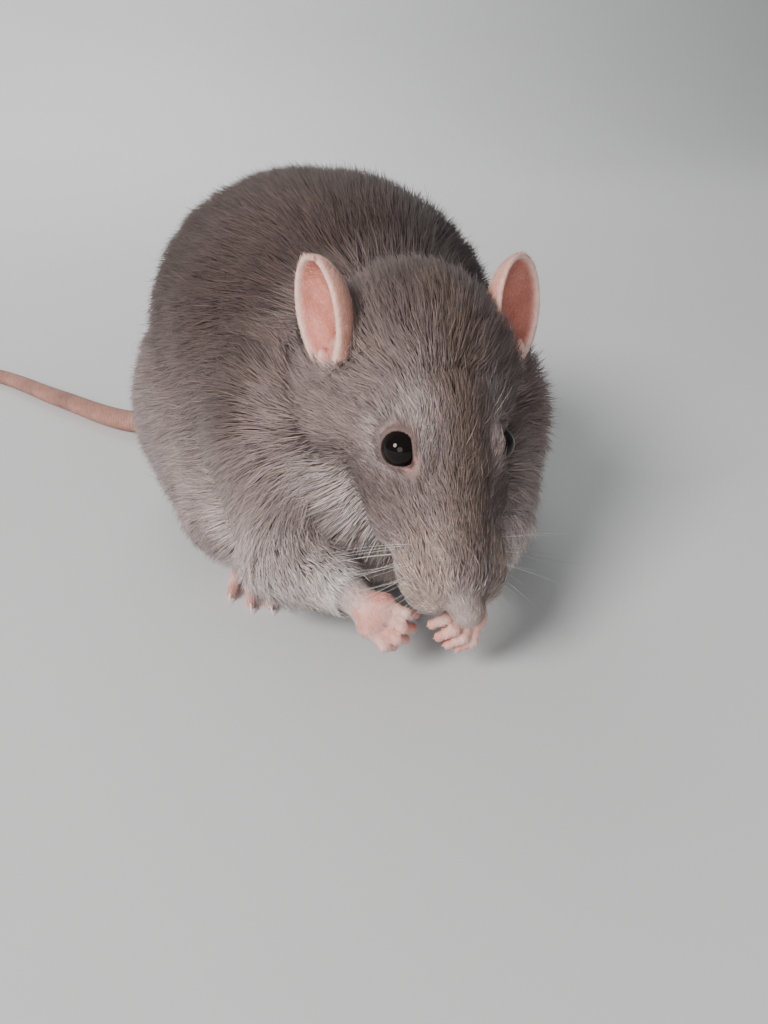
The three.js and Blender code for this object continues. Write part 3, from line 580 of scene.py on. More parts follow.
def skin_colour(p, n, r):
    under = coat_colour(p, n, r)
    c = mix(under * 0.72, PINK * 0.6, np.full(len(p), 0.12))
    c = mix(c, srgb(150, 122, 114), np.exp(-((r["eye"] - 4.6) / 1.2) ** 2) * 0.6)
    ear = np.tile(PINK, (len(p), 1))
    for side in ("left", "right"):
        w, h, k = to_ear(side, r["l"], r["f"], r["u"])
        egg = ell(w, h, k, (0, 0, 0), (EAR_W, EAR_H, EAR_D))
        here = (r["ear_" + side] <= r["ear"] + 0.01).astype(float)
        inside = 1 - step(-0.25, 0.15, egg)
        # painted shade: the far (left) ear's lining and hollow are darker than the near ear's; the lining is the ear's
        # own inner colour deepened by painted shade, and the pocket is painted shade deep in the hollow by the root
        lining_and_shade, pocket_shade = (srgb(186, 112, 96), srgb(140, 60, 50)) if side == "left" else (srgb(200, 124, 106), srgb(156, 62, 50))
        ear = mix(ear, srgb(218, 150, 128), here * (1 - inside) * 0.9)
        ear = mix(ear, lining_and_shade, here * inside * (1 - step(-1.6, -0.3, k)) * 0.9)
        ear = mix(ear, pocket_shade, here * inside * np.exp(-((w - 0.5) / 3.4) ** 2 - ((h + 3.2) / 4.6) ** 2) * (1 - step(-3.2, -0.8, k)) * 0.85)
        rays = 0.5 + 0.5 * np.cos(np.arctan2(w, h + EAR_H + 3) * 19)
        # painted shade along radial fold lines inside the cup
        ear = mix(ear, pocket_shade, here * inside * rays ** 2 * (1 - step(-2.2, -0.6, k)) * 0.30)
        ear = mix(ear, srgb(236, 200, 186), here * np.exp(-((k + 0.05) / 0.55) ** 2) * 0.75)
    c = mix(c, ear, r["is_ear"])
    paw = mix(np.tile(PINK, (len(p), 1)), ROSE, step(0.1, 0.7, noise3(p, 2.6, 12) * 0.5 + 0.4))
    hand = paw.copy()
    for side in ("left", "right"):
        for a, b, q in BONES[side]:
            tip = np.sqrt(((p - q) ** 2).sum(1))
            hand = mix(hand, srgb(226, 152, 140), np.exp(-(tip / 1.6) ** 2) * 0.55)
            knuckle = np.sqrt(((p - b) ** 2).sum(1))
            hand = mix(hand, PALE, np.exp(-(knuckle / 1.1) ** 2) * 0.5)
    c = mix(c, hand, (1 - step(0.2, 0.9, r["hand"])) * (0.35 + 0.65 * r["is_hand"]))
    # painted shade: the feet are darker red low down, where they meet the floor
    foot = mix(paw, srgb(196, 112, 98), (1 - step(1.0, 2.6, r["z"])) * 0.6)
    c = mix(c, foot, r["is_foot"])
    c = mix(c, srgb(196, 128, 118), r["is_nose"] * 0.9)
    # painted shade: dark nostrils
    c = mix(c, srgb(60, 34, 30), r["is_nose"] * (1 - step(0.2, 0.6, np.sqrt((np.abs(r["l"]) - 1.3) ** 2 + (r["f"] - 29.0) ** 2 + (r["u"] + 2.0) ** 2))))
    c = mix(c, srgb(122, 96, 90), (1 - step(0.1, 0.8, np.abs(r["lid"] - 0.4))) * (1 - step(EYE_R + 0.5, EYE_R + 1.0, r["eye"])) * 0.8)
    corner = (np.abs(r["l"]) - EYE_AT[0]) * EYE_ALONG[0] + (r["f"] - EYE_AT[1]) * EYE_ALONG[1] + (r["u"] - EYE_AT[2]) * EYE_ALONG[2]
    c = mix(c, srgb(206, 150, 142), (1 - step(0.2, 0.7, np.abs(r["lid"]))) * step(2.6, 3.2, corner) * (1 - step(EYE_R + 0.5, EYE_R + 1.0, r["eye"])) * 0.8)
    # painted shade: dark skin in the gap between the lids and the eyeball
    c = mix(c, srgb(44, 26, 24), (1 - step(-0.1, 0.28, r["lid"])) * (1 - step(EYE_R + 0.4, EYE_R + 0.9, r["eye"])) * 0.9)
    return np.clip(c, 0.004, 0.95)


# ---------- materials ----------
def material(name, rough, build, **sockets):
    m = bpy.data.materials.new(name)
    m.use_nodes = True
    nt = m.node_tree
    b = nt.nodes["Principled BSDF"]
    b.inputs["Roughness"].default_value = rough
    for k, v in sockets.items():
        b.inputs[k.replace("_", " ")].default_value = v
    build(nt, b)
    return m


def node(nt, kind, **values):
    n = nt.nodes.new(kind)
    for k, v in values.items():
        if k in n.inputs:
            n.inputs[k].default_value = v
        else:
            setattr(n, k, v)
    return n


def noise_of(nt, where, scale, detail=4.0, rough=0.6):
    n = node(nt, "ShaderNodeTexNoise", Scale=scale, Detail=detail, Roughness=rough)
    nt.links.new(where, n.inputs["Vector"])
    return n.outputs["Fac"]


def scaled_colour(nt, colour, fac, low, high):
    """colour times a factor that runs from low to high as fac runs from 0.3 to 0.7."""
    r = node(nt, "ShaderNodeMapRange")
    r.inputs["From Min"].default_value, r.inputs["From Max"].default_value = 0.3, 0.7
    r.inputs["To Min"].default_value, r.inputs["To Max"].default_value = low, high
    nt.links.new(fac, r.inputs["Value"])
    v = nt.nodes.new("ShaderNodeVectorMath")
    v.operation = "SCALE"
    nt.links.new(colour, v.inputs[0])
    nt.links.new(r.outputs[0], v.inputs["Scale"])
    return v.outputs[0]


def bumped(nt, b, height, strength, distance):
    n = node(nt, "ShaderNodeBump", Strength=strength, Distance=distance)
    nt.links.new(height, n.inputs["Height"])
    nt.links.new(n.outputs["Normal"], b.inputs["Normal"])


def build_skin(nt, b):
    at = node(nt, "ShaderNodeAttribute", attribute_name="marking")
    tc = nt.nodes.new("ShaderNodeTexCoord")
    p = tc.outputs["Object"]
    c = scaled_colour(nt, at.outputs["Color"], noise_of(nt, p, 900.0), 0.86, 1.1)
    c = scaled_colour(nt, c, noise_of(nt, p, 260.0), 0.92, 1.08)
    nt.links.new(c, b.inputs["Base Color"])
    r = node(nt, "ShaderNodeMapRange")
    r.inputs["To Min"].default_value, r.inputs["To Max"].default_value = 0.38, 0.6
    nt.links.new(noise_of(nt, p, 700.0), r.inputs["Value"])
    nt.links.new(r.outputs[0], b.inputs["Roughness"])
    v = node(nt, "ShaderNodeTexVoronoi", Scale=1500.0, feature="DISTANCE_TO_EDGE")
    nt.links.new(p, v.inputs["Vector"])
    clip = node(nt, "ShaderNodeMapRange")
    clip.inputs["From Max"].default_value = 0.14
    nt.links.new(v.outputs["Distance"], clip.inputs["Value"])
    add = node(nt, "ShaderNodeMath", operation="ADD")
    nt.links.new(clip.outputs[0], add.inputs[0])
    nt.links.new(noise_of(nt, p, 2400.0), add.inputs[1])
    bumped(nt, b, add.outputs[0], 0.55, 0.00009)


def build_tail(nt, b):
    at = node(nt, "ShaderNodeAttribute", attribute_name="marking")
    tc = nt.nodes.new("ShaderNodeTexCoord")
    p = tc.outputs["Object"]
    c = scaled_colour(nt, at.outputs["Color"], noise_of(nt, p, 700.0), 0.82, 1.12)
    c = scaled_colour(nt, c, noise_of(nt, p, 90.0), 0.9, 1.1)
    nt.links.new(c, b.inputs["Base Color"])
    bumped(nt, b, noise_of(nt, p, 2600.0), 0.5, 0.00006)


def build_coat(nt, b):
    at = node(nt, "ShaderNodeAttribute", attribute_name="marking")
    tc = nt.nodes.new("ShaderNodeTexCoord")
    c = scaled_colour(nt, at.outputs["Color"], noise_of(nt, tc.outputs["Object"], 420.0, 3.0), 0.9, 1.1)
    nt.links.new(c, b.inputs["Base Color"])


def build_eye(nt, b):
    lw = node(nt, "ShaderNodeTexCoord")
    n = noise_of(nt, lw.outputs["Object"], 500.0)
    ramp = nt.nodes.new("ShaderNodeValToRGB")
    ramp.color_ramp.elements[0].color = (0.0025, 0.002, 0.002, 1)
    ramp.color_ramp.elements[1].color = (0.008, 0.0045, 0.004, 1)
    nt.links.new(n, ramp.inputs["Fac"])
    nt.links.new(ramp.outputs["Color"], b.inputs["Base Color"])


def build_horn(nt, b):
    tc = nt.nodes.new("ShaderNodeTexCoord")
    n = noise_of(nt, tc.outputs["Object"], 1200.0)
    ramp = nt.nodes.new("ShaderNodeValToRGB")
    ramp.color_ramp.elements[0].color = (*srgb(205, 170, 150), 1)
    ramp.color_ramp.elements[1].color = (*srgb(238, 222, 208), 1)
    nt.links.new(n, ramp.inputs["Fac"])
    nt.links.new(ramp.outputs["Color"], b.inputs["Base Color"])


def build_whisker(nt, b):
    at = node(nt, "ShaderNodeAttribute", attribute_name="marking")
    tc = nt.nodes.new("ShaderNodeTexCoord")
    nt.links.new(scaled_colour(nt, at.outputs["Color"], noise_of(nt, tc.outputs["Object"], 300.0), 0.85, 1.1), b.inputs["Base Color"])


SKIN = material("skin", 0.5, build_skin, Subsurface_Weight=0.12, Subsurface_Radius=(0.0012, 0.0005, 0.0003), Subsurface_Scale=1.0, Specular_IOR_Level=0.35)
TAIL = material("tail_skin", 0.58, build_tail, Subsurface_Weight=0.08, Subsurface_Radius=(0.0012, 0.0005, 0.0003), Subsurface_Scale=1.0, Specular_IOR_Level=0.3)
COAT = material("coat", 0.62, build_coat, Sheen_Weight=0.06, Sheen_Roughness=0.45, Specular_IOR_Level=0.18)
EYE = material("eye", 0.05, build_eye, Coat_Weight=0.0, Specular_IOR_Level=0.20)
HORN = material("claw", 0.3, build_horn, Coat_Weight=0.3, Coat_Roughness=0.2)
WHISKER = material("whisker", 0.35, build_whisker)


# ---------- meshes from arrays ----------
def mesh_object(name, pts, faces, mat, colour=None, normals=None, uv=None, smooth=True):
    """pts in the rat's own millimetres; faces an (n, 3) or (n, 4) array."""
    me = bpy.data.meshes.new(name)
    co = ((pts + SHIFT) / 1000.0).astype(F)
    k = faces.shape[1]
    me.vertices.add(len(co))
    me.vertices.foreach_set("co", co.ravel())
    me.loops.add(faces.size)
    me.loops.foreach_set("vertex_index", faces.astype(np.int32).ravel())
    me.polygons.add(len(faces))
    me.polygons.foreach_set("loop_start", (np.arange(len(faces)) * k).astype(np.int32))
    me.update(calc_edges=True)
    me.polygons.foreach_set("use_smooth", np.full(len(faces), smooth))
    if colour is not None:
        a = me.attributes.new("marking", "FLOAT_COLOR", "POINT")
        rgba = np.ones((len(co), 4), F)
        rgba[:, :3] = colour
        a.data.foreach_set("color", rgba.ravel())
    if uv is not None:
        layer = me.uv_layers.new(name="OFBake")
        layer.data.foreach_set("uv", uv.astype(F).ravel())
    me.materials.append(mat)
    if normals is not None:
        me.normals_split_custom_set_from_vertices(normals.astype(F))
    o = bpy.data.objects.new(name, me)
    bpy.context.scene.collection.objects.link(o)
    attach(o, "root")
    return o


FLESH = [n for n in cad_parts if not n.startswith("eye")]
r = places(skin_pts)
skin = mesh_object("skin", skin_pts, skin_quads, SKIN, skin_colour(skin_pts, skin_nrm, r))
clock("skin mesh")


# ---------- tail: a long tube with rings of scales, its underside on the floor ----------
def smooth_path(pts, n):
    """Points along a centripetal Catmull-Rom curve, n to each span."""
    P = [np.asarray(p, float) for p in pts]
    P = [2 * P[0] - P[1]] + P + [2 * P[-1] - P[-2]]
    out = []
    for i in range(1, len(P) - 2):
        p = P[i - 1:i + 3]
        t = [0.0]
        for a, b in zip(p[:-1], p[1:]):
            t.append(t[-1] + np.linalg.norm(b - a) ** 0.5)
        for s in np.linspace(t[1], t[2], n, endpoint=False):
            A = [(t[k + 1] - s) / (t[k + 1] - t[k]) * p[k] + (s - t[k]) / (t[k + 1] - t[k]) * p[k + 1] for k in range(3)]
            B = [(t[k + 2] - s) / (t[k + 2] - t[k]) * A[k] + (s - t[k]) / (t[k + 2] - t[k]) * A[k + 1] for k in range(2)]
            out.append((t[2] - s) / (t[2] - t[1]) * B[0] + (s - t[1]) / (t[2] - t[1]) * B[1])
    return np.array(out + [P[-2]])


path = smooth_path(TAIL_PATH, 60)
along_q = np.linspace(0, len(TAIL_R) - 1, len(path))
length = np.concatenate([[0], np.cumsum(np.linalg.norm(np.diff(path, axis=0), axis=1))])
TAIL_LONG = length[-1]
N_RING, N_AROUND = 900, 30
s = np.linspace(0, TAIL_LONG, N_RING)
centre = np.stack([np.interp(s, length, path[:, i]) for i in range(3)], 1)
rad = np.interp(np.interp(s, length, along_q), np.arange(len(TAIL_R)), TAIL_R)
tan = rows_unit(np.gradient(centre, axis=0))
side_v = rows_unit(np.stack([-tan[:, 1], tan[:, 0], 0 * tan[:, 0]], 1))
up_v = np.cross(tan, side_v)
up_v *= np.sign(up_v[:, 2:3])
th = np.linspace(0, 2 * np.pi, N_AROUND, endpoint=False)
pitch = np.interp(s, [0, TAIL_LONG], [1.05, 0.62])
phase = np.cumsum(np.gradient(s) / pitch)
saw = phase % 1.0
ringh = np.where(saw < 0.8, saw / 0.8, (1 - saw) / 0.2)
row = np.floor(phase)
lobes = 0.5 + 0.5 * np.cos(th[None, :] * 13 + np.pi * (row[:, None] % 2))
relief = 0.10 * (ringh[:, None] ** 0.7) * (0.55 + 0.45 * lobes) * np.clip(rad[:, None] / 3, 0.4, 1.1)
end = np.sqrt(np.clip((TAIL_LONG - s) / 1.6, 0.03, 1))
rr = (rad[:, None] - 0.18 + relief) * end[:, None]
tail_pts = centre[:, None, :] + side_v[:, None, :] * (rr * np.cos(th))[..., None] + up_v[:, None, :] * (rr * np.sin(th))[..., None]
tail_pts = tail_pts.reshape(-1, 3)
low = 0.06 + 0.05 * (1 - relief.ravel() / 0.12)
tail_pts[:, 2] = np.maximum(tail_pts[:, 2], low)
i, j = np.meshgrid(np.arange(N_RING - 1), np.arange(N_AROUND), indexing="ij")
a, b = i * N_AROUND + j, i * N_AROUND + (j + 1) % N_AROUND
tail_quads = np.stack([a, b, b + N_AROUND, a + N_AROUND], -1).reshape(-1, 4)
fan = np.array([(0, 2 * k + 1, 2 * k + 2, 2 * k + 3) for k in range(N_AROUND // 2 - 1)])
tail_quads = np.concatenate([tail_quads, fan[:, ::-1], fan + (N_RING - 1) * N_AROUND])
q0 = tail_pts[tail_quads[2000]]
flat = np.cross(q0[1] - q0[0], q0[3] - q0[0])
if flat @ (q0[0] - centre[2000 // N_AROUND]) < 0:
    tail_quads = tail_quads[:, ::-1]
sm = np.repeat(s, N_AROUND) / TAIL_LONG
upness = np.tile(np.sin(th), N_RING)
tc = mix(np.tile(srgb(176, 128, 112), (len(tail_pts), 1)), srgb(206, 152, 138), sm * 0.8)
tc = mix(tc, srgb(140, 100, 88), step(0.1, 0.9, upness) * 0.45 * (1 - sm * 0.5))
tc = mix(tc, srgb(120, 88, 80), step(0.2, 0.7, noise3(tail_pts, 9, 61)) * 0.35)
# painted shade: darker in the grooves between the rings of scales, where the relief is low
tc = tc * (0.62 + 0.38 * np.clip(relief.ravel() / 0.1, 0, 1))[:, None] * (1 + 0.08 * noise3(tail_pts, 1.3, 62))[:, None]
tail = mesh_object("tail", tail_pts, tail_quads, TAIL, tc)
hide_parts("tail_base", "tail_middle", "tail_end", "tail_tip")
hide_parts(*[n for n in FLESH if not n.startswith("tail")])
clock("tail")


# ---------- eyes ----------
def eye_ball(s, name):
    """A ball with a slightly steeper cornea on its axis."""
    n_lat, n_lon = 40, 64
    v = []
    for a in np.linspace(0, np.pi, n_lat + 1)[1:-1]:
        for b in np.linspace(0, 2 * np.pi, n_lon, endpoint=False):
            v.append((math.sin(a) * math.cos(b), math.sin(a) * math.sin(b), math.cos(a)))
    v = np.array([(0, 0, 1)] + v + [(0, 0, -1)])
    swell = EYE_R - 0.04 + 0.22 * np.exp(-(np.arccos(np.clip(v[:, 2], -1, 1)) / 0.62) ** 2)
    v = v * swell[:, None]
    basis = np.stack([EYE_ALONG, EYE_UP, EYE_OUT])
    q = v @ basis + np.array(EYE_AT)
    q[:, 0] *= s
    pts = HEAD_AT + q @ HEAD
    f = []
    for k in range(n_lon):
        k2 = (k + 1) % n_lon
        f.append((0, 1 + k, 1 + k2, 1 + k2))
        for i in range(n_lat - 2):
            a, b = 1 + i * n_lon + k, 1 + i * n_lon + k2
            f.append((a, a + n_lon, b + n_lon, b))
        a, b = 1 + (n_lat - 2) * n_lon + k, 1 + (n_lat - 2) * n_lon + k2
        f.append((a, len(v) - 1, b, b))
    tris = []
    for a, b, c, d in f:
        tris.append((a, b, c))
        if c != d:
            tris.append((a, c, d))
    tris = np.array(tris)
    p = pts[tris]
    mid = pts.mean(0)
    if (np.cross(p[:, 1] - p[:, 0], p[:, 2] - p[:, 0]) * (p.mean(1) - mid)).sum() < 0:
        tris = tris[:, ::-1]
    o = mesh_object(name, pts, tris, EYE)
    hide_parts("eye_left" if s > 0 else "eye_right")
    return o


eye_ball(1, "eyeball_left")
eye_ball(-1, "eyeball_right")


# ---------- tubes: whiskers and claws ----------
def tubes(paths, radii, sides):
    """Closed tapering tubes: paths is a list of (n, 3) arrays, radii a list of n radii."""
    P, T, base = [], [], 0
    for path, rads in zip(paths, radii):
        n = len(path)
        t = rows_unit(np.gradient(path, axis=0))
        ref = np.array([0.0, 0, 1]) if abs(t[0][2]) < 0.8 else np.array([1.0, 0, 0])
        e = rows_unit(np.cross(t, ref))
        g = np.cross(t, e)
        for i in range(n):
            for k in range(sides):
                a = 2 * np.pi * k / sides
                P.append(path[i] + rads[i] * (math.cos(a) * e[i] + math.sin(a) * g[i]))
        for i in range(n - 1):
            for k in range(sides):
                a, b = base + i * sides + k, base + i * sides + (k + 1) % sides
                T += [(a, b, b + sides), (a, b + sides, a + sides)]
        P += [path[0] - t[0] * rads[0] * 0.5, path[-1] + t[-1] * rads[-1] * 0.8]
        c0, c1 = base + n * sides, base + n * sides + 1
        for k in range(sides):
            T += [(c0, base + (k + 1) % sides, base + k), (c1, base + (n - 1) * sides + k, base + (n - 1) * sides + (k + 1) % sides)]
        base += n * sides + 2
    return np.array(P), np.array(T)


claw_paths, claw_radii = [], []
for side in ("left", "right"):
    for a, b, c in BONES[side]:
        d = unit(c - b)
        fwd = HAND[side][0]
        w = np.linspace(0, 1, 6)[:, None]
        claw_paths.append(c + d * 0.45 + d * 1.35 * w + HAND[side][1] * (0.35 - 0.5 * (w - 0.35) ** 2) - fwd * 0.35 * w ** 2)
        claw_radii.append(np.array([0.30, 0.29, 0.24, 0.17, 0.09, 0.02]))
    for i in range(5):
        a, b = toe(side, i)
        d = unit((b - a) * np.array([1, 1, 0]))
        w = np.linspace(0, 1, 6)[:, None]
        p = b + d * 0.45 + d * 1.9 * w + np.array([0, 0, 0.35]) + np.array([0, 0, -1.15]) * w ** 2
        p[:, 2] = np.maximum(p[:, 2], 0.14)
        claw_paths.append(p)
        claw_radii.append(np.array([0.40, 0.38, 0.30, 0.22, 0.12, 0.03]))
claw_pts, claw_tris = tubes(claw_paths, claw_radii, 8)
mesh_object("claws", claw_pts, claw_tris, HORN)


def on_skin(q):
    """Head-frame points moved onto the skin."""
    p = np.array([from_head(v) for v in q])
    for _ in range(8):
        d = sampled(skin_field, p).astype(float)
        g = gradient(skin_field, p, 0.2)
        p = p - g * (d / np.maximum((g * g).sum(1), 0.3))[:, None]
    return p


wr = np.random.default_rng(7)
whisk, wrad, wcol = [], [], []
for s in (1, -1):
    seeds, aim, lens = [], [], []
    for row in range(5):
        for col in range(5):
            f = 15.5 + col * 2.3 + wr.uniform(-0.3, 0.3)
            u = 0.4 - row * 1.45 + wr.uniform(-0.25, 0.25) - col * 0.12
            seeds.append((s * 7.5, f, u))
            back = np.interp(col, [0, 4], [-0.1, 0.8])
            aim.append((s * 1.0, back + wr.uniform(-0.12, 0.12), -0.10 - row * 0.22 + wr.uniform(-0.1, 0.1)))
            lens.append(np.interp(col, [0, 4], [27 if s > 0 else 19, 7]) * wr.uniform(0.75, 1.05))
    for k in range(3):
        seeds.append((s * 7.0, -3.5 - k, 9.0))
        aim.append((s * 0.35, -0.7 - 0.1 * k, 0.8))
        lens.append(8 - k)
    root = on_skin(seeds)
    for p, a, L in zip(root, aim, lens):
        d = unit(a) @ HEAD
        w = np.linspace(0, 1, 12)[:, None]
        sag = np.array([0, 0.10, -1.0]) * wr.uniform(0.10, 0.26)
        q = p - d * 0.3 + d * L * w + sag * L * w ** 2 + (-HEAD[1]) * L * w ** 2 * wr.uniform(0.0, 0.25)
        q[:, 2] = np.maximum(q[:, 2], 1.0 + 0.3 * w[:, 0])
        whisk.append(q)
        thick = np.interp(L, [8, 30], [0.028, 0.046])
        wrad.append(thick * (1 - w[:, 0] * 0.86))
        wcol.append(np.tile(srgb(226, 218, 210) if wr.random() < 0.85 else srgb(120, 108, 100), (12 * 4 + 2, 1)))
w_pts, w_tris = tubes(whisk, wrad, 4)
mesh_object("whiskers", w_pts, w_tris, WHISKER, np.concatenate(wcol))
clock("eyes, claws, whiskers")


# ---------- coat ----------
def comb(p, n, r):
    """The lie of the coat: a direction along the skin, from nose to rump and down the limbs."""
    x, y, z, t = (r[k].astype(float) for k in ("x", "y", "z", "t"))
    l, f, u = (r[k].astype(float) for k in ("l", "f", "u"))
    m = np.abs(l)
    s = np.sign(l)
    hq = np.stack([s * 0.16 * step(2, 10, m), -np.ones(len(p)), -0.22 * step(6, 14, m)], 1)
    e = np.stack([m - EYE_AT[0], f - EYE_AT[1], u - EYE_AT[2]], 1)
    e = rows_unit(e)
    near = np.exp(-((r["eye"].astype(float) - 3.6) / 1.4) ** 2)[:, None]
    hq = hq + near * 0.95 * np.stack([s * e[:, 0], e[:, 1], e[:, 2]], 1)
    lip = (step(17, 24, f) * (1 - step(-4, 1, u)))[:, None]
    hq = hq * (1 - 0.5 * lip) + lip * np.stack([s * 0.5, -0.3 + 0 * m, -0.9 + 0 * m], 1)
    v_head = hq @ HEAD
    chest = (1 - step(-34, -12, y)) * (1 - step(-0.3, 0.5, n[:, 2])) * (1 - step(34, 50, z))
    flank = 1 - np.clip(n[:, 2], 0, 1)
    v_back = np.stack([0.30 * np.tanh(t / 14) - 0.09, np.ones(len(p)), -0.12 - 0.75 * flank * step(8, 34, np.abs(t))], 1)
    v_rump = np.stack([0.1 * np.tanh(t / 14), 0.35 * np.ones(len(p)), -np.ones(len(p))], 1)
    v_chest = np.stack([0.25 * np.tanh(t / 12), 0.35 + 0 * t, -np.ones(len(p))], 1)
    rump = step(22, 50, y)[:, None]
    v_trunk = v_back * (1 - rump) + v_rump * rump
    v_trunk = v_trunk * (1 - chest[:, None]) + v_chest * chest[:, None]
    out = np.zeros((len(p), 3))
    low = np.minimum.reduce([r[k] for k in ("trunk", "head", "arm", "shank")])
    wsum = np.zeros(len(p))
    for k, v, soft in (("trunk", v_trunk, 4.0), ("head", v_head, 4.0)):
        w = np.exp(-(r[k] - low) / soft)
        out += rows_unit(v) * w[:, None]
        wsum += w
    for side in ("left", "right"):
        ta = along(x, y, z, SHOULDER[side], ELBOW[side])
        d1, d2 = unit(np.subtract(ELBOW[side], SHOULDER[side])), unit(np.subtract(WRIST[side], ELBOW[side]))
        fore = cone(x, y, z, ELBOW[side], WRIST[side], 9, 4.2)
        upper = cone(x, y, z, SHOULDER[side], ELBOW[side], 13, 9.5)
        w = np.exp(-(fore - np.minimum(low, fore)) / 2.0) * 1.6
        out += d2 * w[:, None]
        w = np.exp(-(upper - np.minimum(low, upper)) / 3.0) * 0.7
        out += d1 * w[:, None]
        w = np.exp(-(r["shank_" + side] - np.minimum(low, r["shank_" + side])) / 2.5) * 0.8
        out += unit((0, -0.75, -0.5)) * w[:, None]
        w = (r["hand_" + side] < 1.0)[:, None] * 4.0
        out += HAND[side][0] * w
        w = (r["foot_" + side] < 1.0)[:, None] * 4.0
        out += np.array([0, -1.0, -0.1]) * w
        w = ((r["ear_" + side] < 1.0) * r["is_ear"])[:, None] * 6.0
        e = EAR[side]
        out += (np.array([e["s"] * e["h"][0], e["h"][1], e["h"][2]]) @ HEAD) * w
    swirl = np.stack([noise3(p, 7.0, 21), noise3(p, 7.0, 22), noise3(p, 7.0, 23)], 1) + 0.7 * np.stack([noise3(p, 3.0, 24), noise3(p, 3.0, 25), noise3(p, 3.0, 26)], 1)
    out = rows_unit(out) + 0.26 * swirl
    out = out - n * (out * n).sum(1, keepdims=True)
    return rows_unit(out)


# roots: spread over the skin by area and by the coat's density there
tri = np.concatenate([skin_quads[:, [0, 1, 2]], skin_quads[:, [0, 2, 3]]])
A, B, C = (skin_pts[tri[:, k]] for k in range(3))
area = 0.5 * np.sqrt((np.cross(B - A, C - A) ** 2).sum(1))
mid = (A + B + C) / 3
order = np.lexsort((mid[:, 2] // 1.5, mid[:, 0] // 1.5, mid[:, 1] // 3))
tri, area, mid = tri[order], area[order], mid[order]
mid_n = rows_unit(skin_nrm[tri].mean(1))
R = places(mid)
high = np.clip(-R["form"].astype(float), 0.05, 9)


def density(p, n, r, high):
    d = np.interp(high, [0.2, 0.8, 1.6, 3.0, 6.4], [19, 19, 16, 11.5, 8.6])
    d *= 1 - 0.6 * (1 - step(2, 11, r["z"])) * (n[:, 2] < -0.35)
    ear = r["is_ear"]
    inside = np.zeros(len(p))
    for side in ("left", "right"):
        w, h, k = to_ear(side, r["l"], r["f"], r["u"])
        egg = ell(w, h, k, (0, 0, 0), (EAR_W, EAR_H, EAR_D))
        inside = np.maximum(inside, (egg < 0) * (r["ear_" + side] < 1.0))
    d = d * (1 - ear) + ear * np.where(inside > 0, 2.2, 9.0)
    back = np.zeros(len(p))
    for side in ("left", "right"):
        on = (r["hand_" + side] < 1.2)
        back = np.maximum(back, on * step(-0.2, 0.5, n @ HAND[side][1]))
    hand = r["is_hand"]
    d = d * (1 - hand) + hand * 3.5 * back
    foot = r["is_foot"]
    d = d * (1 - foot) + foot * 8.0 * step(0.1, 0.6, n[:, 2])
    d *= 1 - r["is_nose"]
    d *= np.where(r["eye"] < EYE_R + 1.4, step(0.28, 0.6, r["lid"]) * 1.5, 1.0)
    d[p[:, 2] < 1.2] = 0
    return d


dens = density(mid, mid_n, R, high)
cum = np.cumsum(dens * area)
total = int(cum[-1])
pick = np.minimum(np.searchsorted(cum, np.arange(total) + RNG.random(total)), len(tri) - 1)
b1, b2 = RNG.random(total), RNG.random(total)
over = b1 + b2 > 1
b1[over], b2[over] = 1 - b1[over], 1 - b2[over]
W = np.stack([1 - b1 - b2, b1, b2], 1)
root = (skin_pts[tri[pick]] * W[..., None]).sum(1)
nrm = rows_unit((skin_nrm[tri[pick]] * W[..., None]).sum(1))
r = places(root)
high = np.clip(-r["form"].astype(float), 0.05, 9)
print("tufts", total, "by height", np.histogram(high, [0, .5, 1, 2, 4, 10])[0])
clock("roots")
lie = comb(root, nrm, r)
clock("combed")

on_ear = r["is_ear"] > 0.5
on_hand = (r["is_hand"] > 0.4) | (r["hand"] < 0.8)
on_foot = r["is_foot"] > 0.4
short = on_ear | on_hand | on_foot
g = RNG.standard_normal((total, 6))
high = high * (1 + 0.10 * noise3(root, 4.0, 31) + 0.05 * g[:, 0])
lift_a = np.radians(np.interp(high, [0, 1, 3, 6.5], [18, 27, 44, 58]) + 6 * g[:, 1])
lift_b = np.radians(np.interp(high, [0, 1, 3, 6.5], [8, 13, 23, 34]) + 5 * g[:, 2])
L = 2 * high / np.maximum(np.sin(lift_a) + np.sin(lift_b), 0.2)
L = np.clip(L, 0.9, 13) * np.exp(0.10 * g[:, 3])
face = (1 - step(-3, 3, r["head"])) * step(4, 12, r["f"])
L = np.where(on_ear, 0.75 + 0.35 * RNG.random(total), L)
L = np.where(on_hand & ~on_ear, 0.9 + 0.6 * RNG.random(total), L)
L = np.where(on_foot, 1.1 + 0.7 * RNG.random(total), L)
lift_a = np.where(on_ear, 0.30, np.where(on_hand | on_foot, 0.32, lift_a))
lift_b = np.where(on_ear, 0.12, np.where(on_hand | on_foot, 0.10, lift_b))
width = np.interp(L, [0.8, 2.5, 5, 10], [0.085, 0.125, 0.16, 0.21]) * np.exp(0.2 * g[:, 4])
yaw = 0.22 * g[:, 5] + 0.32 * noise3(root, 2.0, 33)
across = np.cross(nrm, lie)
lie = rows_unit(lie * np.cos(yaw)[:, None] + across * np.sin(yaw)[:, None])

# locks: tips of neighbouring tufts draw together
lead = np.nonzero(RNG.random(total) < np.interp(high, [0, 2, 6.5], [1 / 12, 1 / 16, 1 / 22]))[0]
kd = KDTree(len(lead))
for i, k in enumerate(lead):
    kd.insert(root[k], i)
kd.balance()
own = lead[np.fromiter((kd.find(p)[1] for p in root), int, total)]
clock("locks")


def centre_line(i, L_, la, lb, lie_, nrm_, root_):
    mid_ = root_ + 0.5 * L_[:, None] * (np.cos(la)[:, None] * lie_ + np.sin(la)[:, None] * nrm_)
    tip_ = mid_ + 0.5 * L_[:, None] * (np.cos(lb)[:, None] * lie_ + np.sin(lb)[:, None] * nrm_)
    return mid_, tip_


